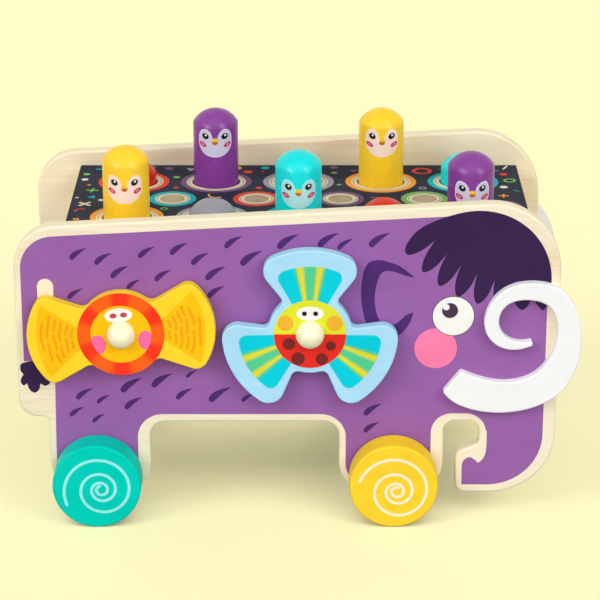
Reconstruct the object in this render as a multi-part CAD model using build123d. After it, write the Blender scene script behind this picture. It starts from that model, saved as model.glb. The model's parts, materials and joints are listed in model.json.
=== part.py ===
from build123d import *

import os
from math import asin, atan, cos, degrees, radians, sin, tan

# Wooden pop-up peg toy on wheels, shaped like a long-haired elephant.
# Millimetres, +Z up from the floor, +X towards the trunk, -Y towards the face with the spinners.
# The origin is on the floor, under the middle peg column and midway between the two sides.

# Side panels: lengths follow one another from the rump to the trunk
RUMP_OVERHANG = 17.0
TAIL_LEG_WIDTH = 58.9
BELLY_SPAN = 110.1
HEAD_LEG_WIDTH = 60.8
CURL_GAP = 7.4
CURL_REACH = 13.5
TRUNK_WIDTH = 44.3
PANEL_THICKNESS = 9.0
PANEL_EDGE_ROUND = 1.5

# Side panels: heights above the floor, then the trunk's heights one above another
FOOT_HEIGHT = 13.9
BELLY_HEIGHT = 58.8
RUMP_HEIGHT = 62.0
BACK_HEIGHT_AT_TAIL = 178.0
BACK_HEIGHT_AT_HEAD = 194.5
CURL_SIDE = 25.6
CURL_RISE = 5.6
ARCH_RISE = 14.2

# Side panels: corner radii
RUMP_ROUND = 11.0
BACK_ROUND = 25.0
HEAD_ROUND = 40.0
TRUNK_ROUND = 37.5
CURL_ROUND = 6.0
NOTCH_ROUND = 4.0
ARCH_ROUND = 6.5
FOOT_ROUND = 19.0
BELLY_ROUND = 9.0
RUMP_NOTCH_ROUND = 3.0

# Box between the side panels
BOX_WIDTH = 134.0
BOARD_HEIGHT = 170.5
BOARD_THICKNESS = 10.0
BOARD_MARGIN = 35.0
WALL_THICKNESS = 9.0
WALL_INSET = 4.0
BASE_HEIGHT = 62.0
BASE_THICKNESS = 6.0
BASE_CLEARANCE = 0.3

# Pegs
COLUMN_COUNT = 5
COLUMN_PITCH = 50.0
ROW_PITCH = 67.0
PEG_DIAMETER = 27.0
PEG_HOLE_CLEARANCE = 0.75
PEG_DOME_HEIGHT = 8.0
PEG_SHOULDER_ROUND = 2.5
PEG_RAISED_HEIGHT = 46.3
PEG_STROKE = 35.0
PEG_COLLAR_DIAMETER = 33.0
PEG_COLLAR_THICKNESS = 5.0
PEG_NECK = 3.0

# See-saw rockers under the pegs, their shaft and the posts that carry it; a rocker rests at a share of its
# full tilt, and its front peg is up where the share is above 0
ROCKER_REACH = 50.0
ROCKER_WIDTH = 26.0
ROCKER_THICKNESS = 10.0
ROCKER_DROP = 5.0
REST_TILT_SHARES = (0.82, -1.0, 0.67, -1.0, 0.62)
ROCKER_HUB_DIAMETER = 22.0
SHAFT_DIAMETER = 6.0
SHAFT_SEAT = 6.0
POST_DIAMETER = 13.5
POST_TAIL = 10.0
SLEEVE_DIAMETER = 12.0

# Wheels and axles
WHEEL_DIAMETER = 51.4
WHEEL_THICKNESS = 17.5
WHEEL_EDGE_ROUND = 1.2
WHEEL_GAP = 1.0
AXLE_DIAMETER = 8.0
AXLE_SEAT = 12.0
AXLE_OUTSET = 1.25

# Spinners on the front panel, their pins and washers
BOW_FROM_RUMP = 61.0
FAN_FROM_BOW = 107.9
SPINNER_HEIGHT = 117.2
SPINNER_THICKNESS = 7.5
SPINNER_EDGE_ROUND = 1.0
SPINNER_GAP = 0.2
PIN_DIAMETER = 8.0
PIN_HEAD_DIAMETER = 16.2
PIN_HEAD_HEIGHT = 8.2
PIN_HEAD_RIM = 1.2
WASHER_DIAMETER = 16.0
WASHER_THICKNESS = 1.5
FAN_DIAMETER = 101.0
FAN_HUB_DIAMETER = 48.0
FAN_LOBES = 3
FAN_LOBE_DEGREES = 75.0
FAN_TIP_ROUND = 9.0
FAN_ROOT_ROUND = 4.0
BOW_LENGTH = 108.2
BOW_END_HEIGHT = 55.0
BOW_END_BULGE = 11.5
BOW_WAIST = 15.0
BOW_CENTRE_DIAMETER = 50.0
BOW_TIP_ROUND = 7.0
BOW_WAIST_ROUND = 5.0
BOW_TILT_DEGREES = 6.0

# Tusks: a curl on each side panel, with its outline as shares of its length and height
TUSK_OVERHANG = 12.6
TUSK_LENGTH = 79.0
TUSK_HEIGHT = 79.8
TUSK_LOW = 66.8
TUSK_THICKNESS = 5.5
TUSK_EDGE_ROUND = 1.0
TUSK_END_ROUND = 2.0
TUSK_OUTER_SHARES = (
    (0.000, 0.162),
    (0.062, 0.096),
    (0.210, 0.026),
    (0.467, 0.000),
    (0.745, 0.074),
    (0.886, 0.182),
    (0.958, 0.312),
    (1.000, 0.570),
    (0.960, 0.780),
    (0.846, 0.942),
    (0.640, 1.000),
    (0.426, 0.944),
    (0.311, 0.793),
    (0.301, 0.634),
    (0.403, 0.514),
    (0.516, 0.489),
    (0.621, 0.514),
)
TUSK_TIP_SHARES = (0.646, 0.538)
TUSK_INNER_SHARES = (
    (0.621, 0.556),
    (0.522, 0.554),
    (0.449, 0.591),
    (0.397, 0.704),
    (0.445, 0.823),
    (0.597, 0.871),
    (0.766, 0.811),
    (0.823, 0.647),
    (0.769, 0.421),
    (0.675, 0.308),
    (0.459, 0.238),
    (0.228, 0.283),
    (0.129, 0.325),
)

# Dowels and screws
DOWEL_DIAMETER = 6.0
DOWEL_IN_PANEL = 6.0
DOWEL_IN_BOX = 14.0
WALL_DOWEL_DROP = 16.0
WALL_DOWEL_RISE = 18.0
SCREW_DIAMETER = 3.5
SCREW_HEAD_DIAMETER = 7.0
SCREW_HEAD_HEIGHT = 2.2
SCREW_LENGTH = 22.0
SCREW_RECESS = 0.2
SCREW_SPREAD = 80.0

# Clearances
GLUE_GAP = 0.05
END_GAP = 0.5
RUN_GAP = 0.1
SIDE_PLAY = 0.2
SEAT_GAP = 0.3
CUT_OVERRUN = 1.0

# Places along the toy
PANEL_LENGTH = (
    RUMP_OVERHANG
    + TAIL_LEG_WIDTH
    + BELLY_SPAN
    + HEAD_LEG_WIDTH
    + CURL_GAP
    + CURL_REACH
    + TRUNK_WIDTH
)
RUMP_X = -(PANEL_LENGTH + TUSK_OVERHANG) / 2
TAIL_LEG_X = RUMP_X + RUMP_OVERHANG
BELLY_X = TAIL_LEG_X + TAIL_LEG_WIDTH
HEAD_LEG_X = BELLY_X + BELLY_SPAN
ARCH_X = HEAD_LEG_X + HEAD_LEG_WIDTH
CURL_X = ARCH_X + CURL_GAP
TRUNK_X = CURL_X + CURL_REACH
TRUNK_END_X = TRUNK_X + TRUNK_WIDTH
TAIL_AXLE_X = TAIL_LEG_X + TAIL_LEG_WIDTH / 2 - AXLE_OUTSET
HEAD_AXLE_X = HEAD_LEG_X + HEAD_LEG_WIDTH / 2 + AXLE_OUTSET
BOW_X = RUMP_X + BOW_FROM_RUMP
FAN_X = BOW_X + FAN_FROM_BOW
COLUMN_XS = [(i - (COLUMN_COUNT - 1) / 2) * COLUMN_PITCH for i in range(COLUMN_COUNT)]
POST_XS = [x + COLUMN_PITCH / 2 for x in COLUMN_XS[:-1]]
BOARD_LENGTH = (COLUMN_COUNT - 1) * COLUMN_PITCH + 2 * BOARD_MARGIN
WALL_INNER_X = BOARD_LENGTH / 2 - WALL_INSET - WALL_THICKNESS
WALL_X = WALL_INNER_X + WALL_THICKNESS / 2

# Places across the toy and above the floor
INNER_Y = BOX_WIDTH / 2
OUTER_Y = INNER_Y + PANEL_THICKNESS
WHEEL_INNER_Y = OUTER_Y + WHEEL_GAP
ROW_Y = ROW_PITCH / 2
AXLE_Z = WHEEL_DIAMETER / 2
CURL_Z = FOOT_HEIGHT + CURL_SIDE
NOTCH_Z = CURL_Z + CURL_RISE
ARCH_Z = NOTCH_Z + ARCH_RISE
BOARD_UNDER_Z = BOARD_HEIGHT - BOARD_THICKNESS
WALL_LOW_Z = BASE_HEIGHT + BASE_THICKNESS

# The raised peg's collar stops under the board; the tilted rocker carries the round foot of each peg
ROCKER_TILT = atan(PEG_STROKE / ROW_PITCH)
COLLAR_TOP_Z = BOARD_UNDER_Z - SEAT_GAP
FOOT_CENTRE_Z = COLLAR_TOP_Z - PEG_COLLAR_THICKNESS - PEG_NECK
PIVOT_Z = (
    FOOT_CENTRE_Z
    - SEAT_GAP
    - (PEG_DIAMETER / 2 - ROCKER_DROP) / cos(ROCKER_TILT)
    - ROW_Y * tan(ROCKER_TILT)
)

# Dowel places: in the ends of both walls and in the long edges of the board
WALL_DOWEL_ZS = (WALL_LOW_Z + WALL_DOWEL_RISE, BOARD_UNDER_Z - WALL_DOWEL_DROP)
WALL_DOWELS = [(x, z) for x in (-WALL_X, WALL_X) for z in WALL_DOWEL_ZS]
BOARD_DOWELS = [(x, BOARD_HEIGHT - BOARD_THICKNESS / 2) for x in POST_XS]
SCREW_PLACES = [(x, y) for x in (-WALL_X, WALL_X) for y in (-SCREW_SPREAD / 2, SCREW_SPREAD / 2)]


def rounded_outline(corners):
    """Flat face from (x, y, radius) corners."""
    face = make_face(Polyline([(x, y) for x, y, _ in corners], close=True)).face()
    for x, y, radius in corners:
        corner = face.vertices().sort_by_distance((x, y, 0))[0]
        face = face.fillet_2d(radius, [corner])
    return face


def slab(face, y_low, y_high):
    """Plate between two planes across the toy; its outline is drawn in X and Z."""
    return Pos(0, y_high, 0) * extrude(Plane.XZ * face, y_high - y_low, dir=(0, -1, 0))


def bar_across(diameter, x, z, y_low, y_high):
    """Round bar along Y."""
    return Pos(x, (y_low + y_high) / 2, z) * Rot(90, 0, 0) * Cylinder(diameter / 2, y_high - y_low)


def bar_along(diameter, x_low, x_high, y, z):
    """Round bar along X."""
    return Pos((x_low + x_high) / 2, y, z) * Rot(0, 90, 0) * Cylinder(diameter / 2, x_high - x_low)


def bar_upright(diameter, x, y, z_low, z_high):
    """Round bar along Z."""
    return Pos(x, y, (z_low + z_high) / 2) * Cylinder(diameter / 2, z_high - z_low)


def panel_outline():
    """Rump, back, head, trunk with its curl, two legs and the belly between them."""
    return rounded_outline(
        [
            (RUMP_X, RUMP_HEIGHT, RUMP_ROUND),
            (RUMP_X, BACK_HEIGHT_AT_TAIL, BACK_ROUND),
            (TRUNK_END_X, BACK_HEIGHT_AT_HEAD, HEAD_ROUND),
            (TRUNK_END_X, FOOT_HEIGHT, TRUNK_ROUND),
            (CURL_X, FOOT_HEIGHT, CURL_ROUND),
            (CURL_X, CURL_Z, CURL_ROUND),
            (TRUNK_X, NOTCH_Z, NOTCH_ROUND),
            (TRUNK_X, ARCH_Z, ARCH_ROUND),
            (ARCH_X, ARCH_Z, ARCH_ROUND),
            (ARCH_X, FOOT_HEIGHT, FOOT_ROUND),
            (HEAD_LEG_X, FOOT_HEIGHT, FOOT_ROUND),
            (HEAD_LEG_X, BELLY_HEIGHT, BELLY_ROUND),
            (BELLY_X, BELLY_HEIGHT, BELLY_ROUND),
            (BELLY_X, FOOT_HEIGHT, FOOT_ROUND),
            (TAIL_LEG_X, FOOT_HEIGHT, FOOT_ROUND),
            (TAIL_LEG_X, RUMP_HEIGHT, RUMP_NOTCH_ROUND),
        ]
    )


def side_panel(side):
    """Side panel with round edges; side is -1 at the front, where the spinner pins go, and 1 at the rear."""
    near, far = sorted((side * INNER_Y, side * OUTER_Y))
    panel = slab(panel_outline(), near, far)
    faces = panel.edges().group_by(Axis.Y)
    panel = fillet(faces[0] + faces[-1], PANEL_EDGE_ROUND)
    for x in (TAIL_AXLE_X, HEAD_AXLE_X):
        panel -= bar_across(AXLE_DIAMETER + 2 * RUN_GAP, x, AXLE_Z, near - CUT_OVERRUN, far + CUT_OVERRUN)
    for x, z in WALL_DOWELS + BOARD_DOWELS:
        low, high = sorted((side * (INNER_Y - CUT_OVERRUN), side * (INNER_Y + DOWEL_IN_PANEL + END_GAP)))
        panel -= bar_across(DOWEL_DIAMETER + 2 * GLUE_GAP, x, z, low, high)
    if side < 0:
        for x in (BOW_X, FAN_X):
            panel -= bar_across(
                PIN_DIAMETER + 2 * GLUE_GAP, x, SPINNER_HEIGHT, near - CUT_OVERRUN, far + CUT_OVERRUN
            )
    return panel


def game_board():
    """Board with two rows of peg holes and a row of post holes between them."""
    board = Pos(0, 0, BOARD_HEIGHT - BOARD_THICKNESS / 2) * Box(BOARD_LENGTH, BOX_WIDTH, BOARD_THICKNESS)
    low = BOARD_UNDER_Z - CUT_OVERRUN
    high = BOARD_HEIGHT + CUT_OVERRUN
    for x in COLUMN_XS:
        for y in (-ROW_Y, ROW_Y):
            board -= bar_upright(PEG_DIAMETER + 2 * PEG_HOLE_CLEARANCE, x, y, low, high)
    for x in POST_XS:
        board -= bar_upright(POST_DIAMETER + 2 * GLUE_GAP, x, 0, low, high)
    for x, z in BOARD_DOWELS:
        for low_y, high_y in box_dowel_bores():
            board -= bar_across(DOWEL_DIAMETER + 2 * GLUE_GAP, x, z, low_y, high_y)
    return board


def box_dowel_bores():
    """Depth range of the dowel bores that start on the two long sides of the box."""
    inner = INNER_Y - DOWEL_IN_BOX - END_GAP
    outer = INNER_Y + CUT_OVERRUN
    return [(-outer, -inner), (inner, outer)]


def end_wall(side):
    """Upright wall under one end of the board, bored for the shaft, the dowels and the base screws."""
    height = BOARD_UNDER_Z - WALL_LOW_Z
    wall = Pos(side * WALL_X, 0, WALL_LOW_Z + height / 2) * Box(WALL_THICKNESS, BOX_WIDTH, height)
    low, high = sorted((side * (WALL_INNER_X - CUT_OVERRUN), side * (WALL_INNER_X + SHAFT_SEAT + END_GAP)))
    wall -= bar_along(SHAFT_DIAMETER + 2 * GLUE_GAP, low, high, 0, PIVOT_Z)
    for z in WALL_DOWEL_ZS:
        for low_y, high_y in box_dowel_bores():
            wall -= bar_across(DOWEL_DIAMETER + 2 * GLUE_GAP, side * WALL_X, z, low_y, high_y)
    screw_end = BASE_HEIGHT + SCREW_RECESS + SCREW_LENGTH + END_GAP
    for y in (-SCREW_SPREAD / 2, SCREW_SPREAD / 2):
        wall -= bar_upright(
            SCREW_DIAMETER + 2 * GLUE_GAP, side * WALL_X, y, WALL_LOW_Z - CUT_OVERRUN, screw_end
        )
    return wall


def screw_shape(growth, overrun):
    """Countersunk wood screw with its head down, grown by a clearance to cut its hole."""
    head = Cone(
        SCREW_HEAD_DIAMETER / 2 + growth,
        SCREW_DIAMETER / 2 + growth,
        SCREW_HEAD_HEIGHT,
        align=(Align.CENTER, Align.CENTER, Align.MIN),
    )
    shank = Cylinder(
        SCREW_DIAMETER / 2 + growth,
        SCREW_LENGTH + overrun,
        align=(Align.CENTER, Align.CENTER, Align.MIN),
    )
    return Pos(0, 0, BASE_HEIGHT + SCREW_RECESS) * (head + shank)


def base_board():
    """Thin board that closes the box from below, screwed to both end walls."""
    base = Pos(0, 0, BASE_HEIGHT + BASE_THICKNESS / 2) * Box(
        2 * (WALL_INNER_X + WALL_THICKNESS), BOX_WIDTH - 2 * BASE_CLEARANCE, BASE_THICKNESS
    )
    for x, y in SCREW_PLACES:
        base -= Pos(x, y, 0) * screw_shape(GLUE_GAP, CUT_OVERRUN)
        base -= bar_upright(
            SCREW_HEAD_DIAMETER + 2 * GLUE_GAP,
            x,
            y,
            BASE_HEIGHT - CUT_OVERRUN,
            BASE_HEIGHT + SCREW_RECESS,
        )
    return base


def base_screws():
    """Four screws that hold the base board."""
    return [Pos(x, y, 0) * screw_shape(0, 0) for x, y in SCREW_PLACES]


def panel_dowels():
    """Dowels between the side panels and the walls and board of the box."""
    dowels = []
    for x, z in WALL_DOWELS + BOARD_DOWELS:
        dowels.append(bar_across(DOWEL_DIAMETER, x, z, INNER_Y - DOWEL_IN_BOX, INNER_Y + DOWEL_IN_PANEL))
        dowels.append(bar_across(DOWEL_DIAMETER, x, z, -INNER_Y - DOWEL_IN_PANEL, DOWEL_IN_BOX - INNER_Y))
    return dowels


def shaft_post(x):
    """Post glued in the board, flush with its top, with a cross bore for the shaft."""
    post = bar_upright(POST_DIAMETER, x, 0, PIVOT_Z - POST_TAIL, BOARD_HEIGHT)
    reach = POST_DIAMETER / 2 + CUT_OVERRUN
    return post - bar_along(SHAFT_DIAMETER + 2 * GLUE_GAP, x - reach, x + reach, 0, PIVOT_Z)


def rocker_shaft():
    """Rod from end wall to end wall that all rockers swing on."""
    reach = WALL_INNER_X + SHAFT_SEAT
    return bar_along(SHAFT_DIAMETER, -reach, reach, 0, PIVOT_Z)


def rocker_gaps():
    """Free lengths of shaft beside each rocker, up to the next post or end wall."""
    stops = [-WALL_INNER_X]
    for x in POST_XS:
        stops.extend((x - POST_DIAMETER / 2, x + POST_DIAMETER / 2))
    stops.append(WALL_INNER_X)
    gaps = []
    for i, x in enumerate(COLUMN_XS):
        gaps.append((stops[2 * i], x - ROCKER_WIDTH / 2))
        gaps.append((x + ROCKER_WIDTH / 2, stops[2 * i + 1]))
    return gaps


def rocker_sleeves():
    """Sleeves on the shaft that keep each rocker midway between its neighbours."""
    sleeves = []
    for low, high in rocker_gaps():
        sleeve = bar_along(SLEEVE_DIAMETER, low + SIDE_PLAY, high - SIDE_PLAY, 0, PIVOT_Z)
        sleeves.append(sleeve - bar_along(SHAFT_DIAMETER + 2 * RUN_GAP, low, high, 0, PIVOT_Z))
    return sleeves


def rocker(x, share):
    """See-saw plank under one pair of pegs, hung below its hub and tilted by a share of its full tilt."""
    plank = Pos(0, -ROCKER_DROP - ROCKER_THICKNESS / 2) * SlotOverall(2 * ROCKER_REACH, ROCKER_THICKNESS)
    profile = plank + Circle(ROCKER_HUB_DIAMETER / 2) - Circle(SHAFT_DIAMETER / 2 + RUN_GAP)
    body = extrude(Plane.YZ * profile, ROCKER_WIDTH / 2, both=True)
    return Pos(x, 0, PIVOT_Z) * Rot(-share * degrees(ROCKER_TILT), 0, 0) * body


def peg(x, y, share):
    """Turned peg: domed head, straight body, stop collar and round foot; share 1 is up and -1 is down."""
    radius = PEG_DIAMETER / 2
    collar = PEG_COLLAR_DIAMETER / 2
    top = BOARD_HEIGHT + PEG_RAISED_HEIGHT
    shoulder = top - PEG_DOME_HEIGHT
    dome_radius = (radius**2 + PEG_DOME_HEIGHT**2) / (2 * PEG_DOME_HEIGHT)
    half_angle = asin(radius / dome_radius) / 2
    dome_middle = (dome_radius * sin(half_angle), top - dome_radius * (1 - cos(half_angle)))
    foot_middle = (radius * sin(radians(45)), FOOT_CENTRE_Z - radius * cos(radians(45)))
    side = Polyline(
        (radius, FOOT_CENTRE_Z),
        (radius, COLLAR_TOP_Z - PEG_COLLAR_THICKNESS),
        (collar, COLLAR_TOP_Z - PEG_COLLAR_THICKNESS),
        (collar, COLLAR_TOP_Z),
        (radius, COLLAR_TOP_Z),
        (radius, shoulder),
    )
    dome = ThreePointArc((radius, shoulder), dome_middle, (0, top))
    axis = Line((0, top), (0, FOOT_CENTRE_Z - radius))
    foot = ThreePointArc((0, FOOT_CENTRE_Z - radius), foot_middle, (radius, FOOT_CENTRE_Z))
    profile = make_face(side + dome + axis + foot).face()
    corner = profile.vertices().sort_by_distance((radius, shoulder, 0))[0]
    body = revolve(Plane.XZ * profile.fillet_2d(PEG_SHOULDER_ROUND, [corner]), Axis.Z)
    return Pos(x, y, (share - 1) * PEG_STROKE / 2) * body


def wheel(x, side):
    """Solid wheel with soft edges and a blind bore for the axle."""
    near, far = sorted((side * WHEEL_INNER_Y, side * (WHEEL_INNER_Y + WHEEL_THICKNESS)))
    disc = bar_across(WHEEL_DIAMETER, x, AXLE_Z, near, far)
    disc = fillet(disc.edges().filter_by(GeomType.CIRCLE), WHEEL_EDGE_ROUND)
    low, high = sorted((side * (WHEEL_INNER_Y - CUT_OVERRUN), side * (WHEEL_INNER_Y + AXLE_SEAT + END_GAP)))
    return disc - bar_across(AXLE_DIAMETER + 2 * GLUE_GAP, x, AXLE_Z, low, high)


def axle(x):
    """Dowel through both panels into the two wheels that it turns with."""
    reach = WHEEL_INNER_Y + AXLE_SEAT
    return bar_across(AXLE_DIAMETER, x, AXLE_Z, -reach, reach)


def spinner_washer(x):
    """Thin ring that keeps a spinner off the panel."""
    ring = bar_across(WASHER_DIAMETER, x, SPINNER_HEIGHT, -OUTER_Y - WASHER_THICKNESS, -OUTER_Y)
    bore_end = -OUTER_Y - WASHER_THICKNESS - CUT_OVERRUN
    return ring - bar_across(PIN_DIAMETER + 2 * GLUE_GAP, x, SPINNER_HEIGHT, bore_end, -OUTER_Y + CUT_OVERRUN)


def spinner_pin(x):
    """Pin with a ball-like head, glued through the front panel."""
    head_y = -OUTER_Y - WASHER_THICKNESS - SPINNER_THICKNESS - 2 * SPINNER_GAP
    radius = PIN_HEAD_DIAMETER / 2
    rise = PIN_HEAD_HEIGHT - PIN_HEAD_RIM
    ball_radius = (radius**2 + rise**2) / (2 * rise)
    half_angle = asin(radius / ball_radius) / 2
    middle = (ball_radius * sin(half_angle), PIN_HEAD_HEIGHT - ball_radius * (1 - cos(half_angle)))
    sides = Polyline((0, PIN_HEAD_HEIGHT), (0, 0), (radius, 0), (radius, PIN_HEAD_RIM))
    cap = ThreePointArc((radius, PIN_HEAD_RIM), middle, (0, PIN_HEAD_HEIGHT))
    head = revolve(Plane.XZ * make_face(sides + cap), Axis.Z)
    shank = bar_across(PIN_DIAMETER, x, SPINNER_HEIGHT, head_y, -INNER_Y)
    return Pos(x, head_y, SPINNER_HEIGHT) * Rot(90, 0, 0) * head + shank


def spinner(outline, x, tilt):
    """Plate that turns on its pin; its front and back edges are softened."""
    back = -OUTER_Y - WASHER_THICKNESS - SPINNER_GAP
    turned = Pos(x, SPINNER_HEIGHT) * Rot(0, 0, tilt) * outline
    plate = slab(turned, back - SPINNER_THICKNESS, back)
    rims = plate.edges().group_by(Axis.Y)
    plate = fillet(rims[0] + rims[-1], SPINNER_EDGE_ROUND)
    low = back - SPINNER_THICKNESS - CUT_OVERRUN
    return plate - bar_across(PIN_DIAMETER + 2 * RUN_GAP, x, SPINNER_HEIGHT, low, back + CUT_OVERRUN)


def round_corners(outline, distance, radius):
    """Round the corners of an outline that lie at one distance from its middle."""
    corners = [v for v in outline.vertices() if abs(Vector(*v).length - distance) < radius / 2]
    return fillet(corners, radius)


def fan_outline():
    """Three wide lobes round a hub."""
    radius = FAN_DIAMETER / 2
    half = radians(FAN_LOBE_DEGREES / 2)
    wedge = make_face(
        Polyline(
            (0, 0),
            (2 * radius * sin(half), 2 * radius * cos(half)),
            (-2 * radius * sin(half), 2 * radius * cos(half)),
            close=True,
        )
    )
    lobe = Circle(radius) & wedge
    outline = Sketch() + Circle(FAN_HUB_DIAMETER / 2)
    for i in range(FAN_LOBES):
        outline += Rot(0, 0, i * 360 / FAN_LOBES) * lobe
    outline = round_corners(outline, radius, FAN_TIP_ROUND)
    return round_corners(outline, FAN_HUB_DIAMETER / 2, FAN_ROOT_ROUND)


def bow_outline():
    """Bow tie: two flared wings with bulging ends and a round middle."""
    end = BOW_LENGTH / 2
    corner = end - BOW_END_BULGE
    half = BOW_END_HEIGHT / 2
    waist = BOW_WAIST / 2
    sides = Polyline((corner, -half), (0, -waist), (0, waist), (corner, half))
    bulge = ThreePointArc((corner, half), (end, 0), (corner, -half))
    wing = make_face(sides + bulge)
    outline = Circle(BOW_CENTRE_DIAMETER / 2) + wing + mirror(wing, about=Plane.YZ)
    outline = round_corners(outline, (corner**2 + half**2) ** 0.5, BOW_TIP_ROUND)
    return round_corners(outline, BOW_CENTRE_DIAMETER / 2, BOW_WAIST_ROUND)


def tusk_place(share):
    """Point of the tusk's outline from its shares of length and height."""
    start = TRUNK_END_X + TUSK_OVERHANG - TUSK_LENGTH
    return (start + share[0] * TUSK_LENGTH, TUSK_LOW + share[1] * TUSK_HEIGHT)


def tusk(side):
    """Curled tusk glued on a panel's outer face, with its showing edge softened."""
    outer = [tusk_place(share) for share in TUSK_OUTER_SHARES]
    inner = [tusk_place(share) for share in TUSK_INNER_SHARES]
    tip = ThreePointArc(outer[-1], tusk_place(TUSK_TIP_SHARES), inner[0])
    face = make_face(Spline(outer) + tip + Spline(inner) + Line(inner[-1], outer[0])).face()
    for x, z in (inner[-1], outer[0]):
        face = face.fillet_2d(TUSK_END_ROUND, [face.vertices().sort_by_distance((x, z, 0))[0]])
    near, far = sorted((side * OUTER_Y, side * (OUTER_Y + TUSK_THICKNESS)))
    plate = slab(face, near, far)
    rims = plate.edges().group_by(Axis.Y)
    return fillet(rims[0] if side < 0 else rims[-1], TUSK_EDGE_ROUND)


def all_nodes():
    """Every piece of the toy, by its node's name."""
    nodes = {
        "front_panel": side_panel(-1),
        "rear_panel": side_panel(1),
        "game_board": game_board(),
        "tail_end_wall": end_wall(-1),
        "head_end_wall": end_wall(1),
        "base_board": base_board(),
        "base_screws": Compound(children=base_screws()),
        "panel_dowels": Compound(children=panel_dowels()),
        "rocker_shaft": rocker_shaft(),
        "rocker_sleeves": Compound(children=rocker_sleeves()),
        "tail_axle": axle(TAIL_AXLE_X),
        "tail_front_wheel": wheel(TAIL_AXLE_X, -1),
        "tail_rear_wheel": wheel(TAIL_AXLE_X, 1),
        "head_axle": axle(HEAD_AXLE_X),
        "head_front_wheel": wheel(HEAD_AXLE_X, -1),
        "head_rear_wheel": wheel(HEAD_AXLE_X, 1),
        "bow_spinner": spinner(bow_outline(), BOW_X, BOW_TILT_DEGREES),
        "bow_pin": spinner_pin(BOW_X),
        "bow_washer": spinner_washer(BOW_X),
        "fan_spinner": spinner(fan_outline(), FAN_X, 0),
        "fan_pin": spinner_pin(FAN_X),
        "fan_washer": spinner_washer(FAN_X),
        "front_tusk": tusk(-1),
        "rear_tusk": tusk(1),
    }
    for number, x in enumerate(POST_XS, start=1):
        nodes[f"shaft_post_{number}"] = shaft_post(x)
    for number, (x, share) in enumerate(zip(COLUMN_XS, REST_TILT_SHARES), start=1):
        nodes[f"rocker_{number}"] = rocker(x, share)
        nodes[f"front_peg_{number}"] = peg(x, -ROW_Y, share)
        nodes[f"rear_peg_{number}"] = peg(x, ROW_Y, -share)
    return nodes


os.makedirs("parts", exist_ok=True)
for name, shape in all_nodes().items():
    export_step(shape, f"parts/{name}.step")
print(f"pivot height {PIVOT_Z:.2f}, rocker tilt {degrees(ROCKER_TILT):.3f} degrees each way")
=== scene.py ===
# %% [markdown]
# # A pop-up peg toy on wheels
#
# Two plywood sides, cut like a long-haired elephant, hold a box with ten pegs. Pushing one peg down lifts
# its partner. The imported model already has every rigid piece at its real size, so this lesson adds what is
# wood grain, paint and ink on the real toy. Blender works in metres here, in the same frame as the packed
# model, so each print goes straight to the surface that carries it.

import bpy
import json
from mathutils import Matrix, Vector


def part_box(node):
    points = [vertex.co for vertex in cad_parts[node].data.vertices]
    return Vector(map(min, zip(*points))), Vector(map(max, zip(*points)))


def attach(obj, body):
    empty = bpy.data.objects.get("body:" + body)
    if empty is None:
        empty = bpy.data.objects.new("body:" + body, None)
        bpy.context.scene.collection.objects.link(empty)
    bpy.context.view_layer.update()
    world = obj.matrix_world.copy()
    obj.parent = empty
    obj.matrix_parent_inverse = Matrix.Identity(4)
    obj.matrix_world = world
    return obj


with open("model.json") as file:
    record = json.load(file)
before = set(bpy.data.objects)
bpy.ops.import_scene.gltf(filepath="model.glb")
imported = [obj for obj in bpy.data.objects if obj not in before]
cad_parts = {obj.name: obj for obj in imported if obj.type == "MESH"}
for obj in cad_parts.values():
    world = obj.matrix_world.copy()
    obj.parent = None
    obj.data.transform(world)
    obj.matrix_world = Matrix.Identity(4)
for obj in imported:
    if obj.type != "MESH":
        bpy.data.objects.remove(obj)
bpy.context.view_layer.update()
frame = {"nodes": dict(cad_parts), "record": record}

# %% [markdown]
# ## Camera
#
# The toy is seen from a little above and from far away, with a long lens, so its upright edges stay almost
# parallel. The camera's place could be found by eye, but here it was worked out from points whose place on
# the toy is known. A square picture uses the lens and the sensor width alike in both directions.

# %% Camera
import math

import bpy

MM = 0.001
CAMERA_PLACE = (0.0009, -1.3937, 0.6276)
CAMERA_TILT = math.radians(69.49)
CAMERA_LENS = 147.67

scene = bpy.context.scene
camera = bpy.data.objects.new("camera", bpy.data.cameras.new("camera"))
camera.data.lens = CAMERA_LENS
camera.location = CAMERA_PLACE
camera.rotation_euler = (CAMERA_TILT, 0, 0)
scene.collection.objects.link(camera)
scene.camera = camera
print("camera lens", CAMERA_LENS, "mm, looking down", round(90 - math.degrees(CAMERA_TILT), 1), "degrees")

# %% [markdown]
# ## Shader helpers
#
# Every finish below is built from nodes. They could be joined by hand in the shader editor, but a small
# helper adds a node and fills its sockets, so that a finish reads like a recipe: colours are written as on
# a paint chart, from 0 to 255, and turned into the linear light that shaders use.

# %% Shader helpers


def linear(red, green, blue):
    """A paint-chart colour as linear light, with full alpha."""
    shares = [value / 255 for value in (red, green, blue)]
    return tuple(s / 12.92 if s <= 0.04045 else ((s + 0.055) / 1.055) ** 2.4 for s in shares) + (1.0,)


def shade(colour, amount):
    """A linear colour made lighter or darker."""
    return tuple(min(1.0, channel * amount) for channel in colour[:3]) + (1.0,)


def add(tree, kind, sockets=(), **settings):
    """A new node. Sockets are given as (name, value), and a value that is an output is linked."""
    made = tree.nodes.new(kind)
    for name, value in settings.items():
        setattr(made, name, value)
    for name, value in sockets:
        if isinstance(value, bpy.types.NodeSocket):
            tree.links.new(value, made.inputs[name])
        else:
            made.inputs[name].default_value = value
    return made


def calculate(tree, operation, first, second=0.0):
    """The result of a sum on two numbers or outputs."""
    return add(tree, "ShaderNodeMath", [(0, first), (1, second)], operation=operation).outputs[0]


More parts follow.
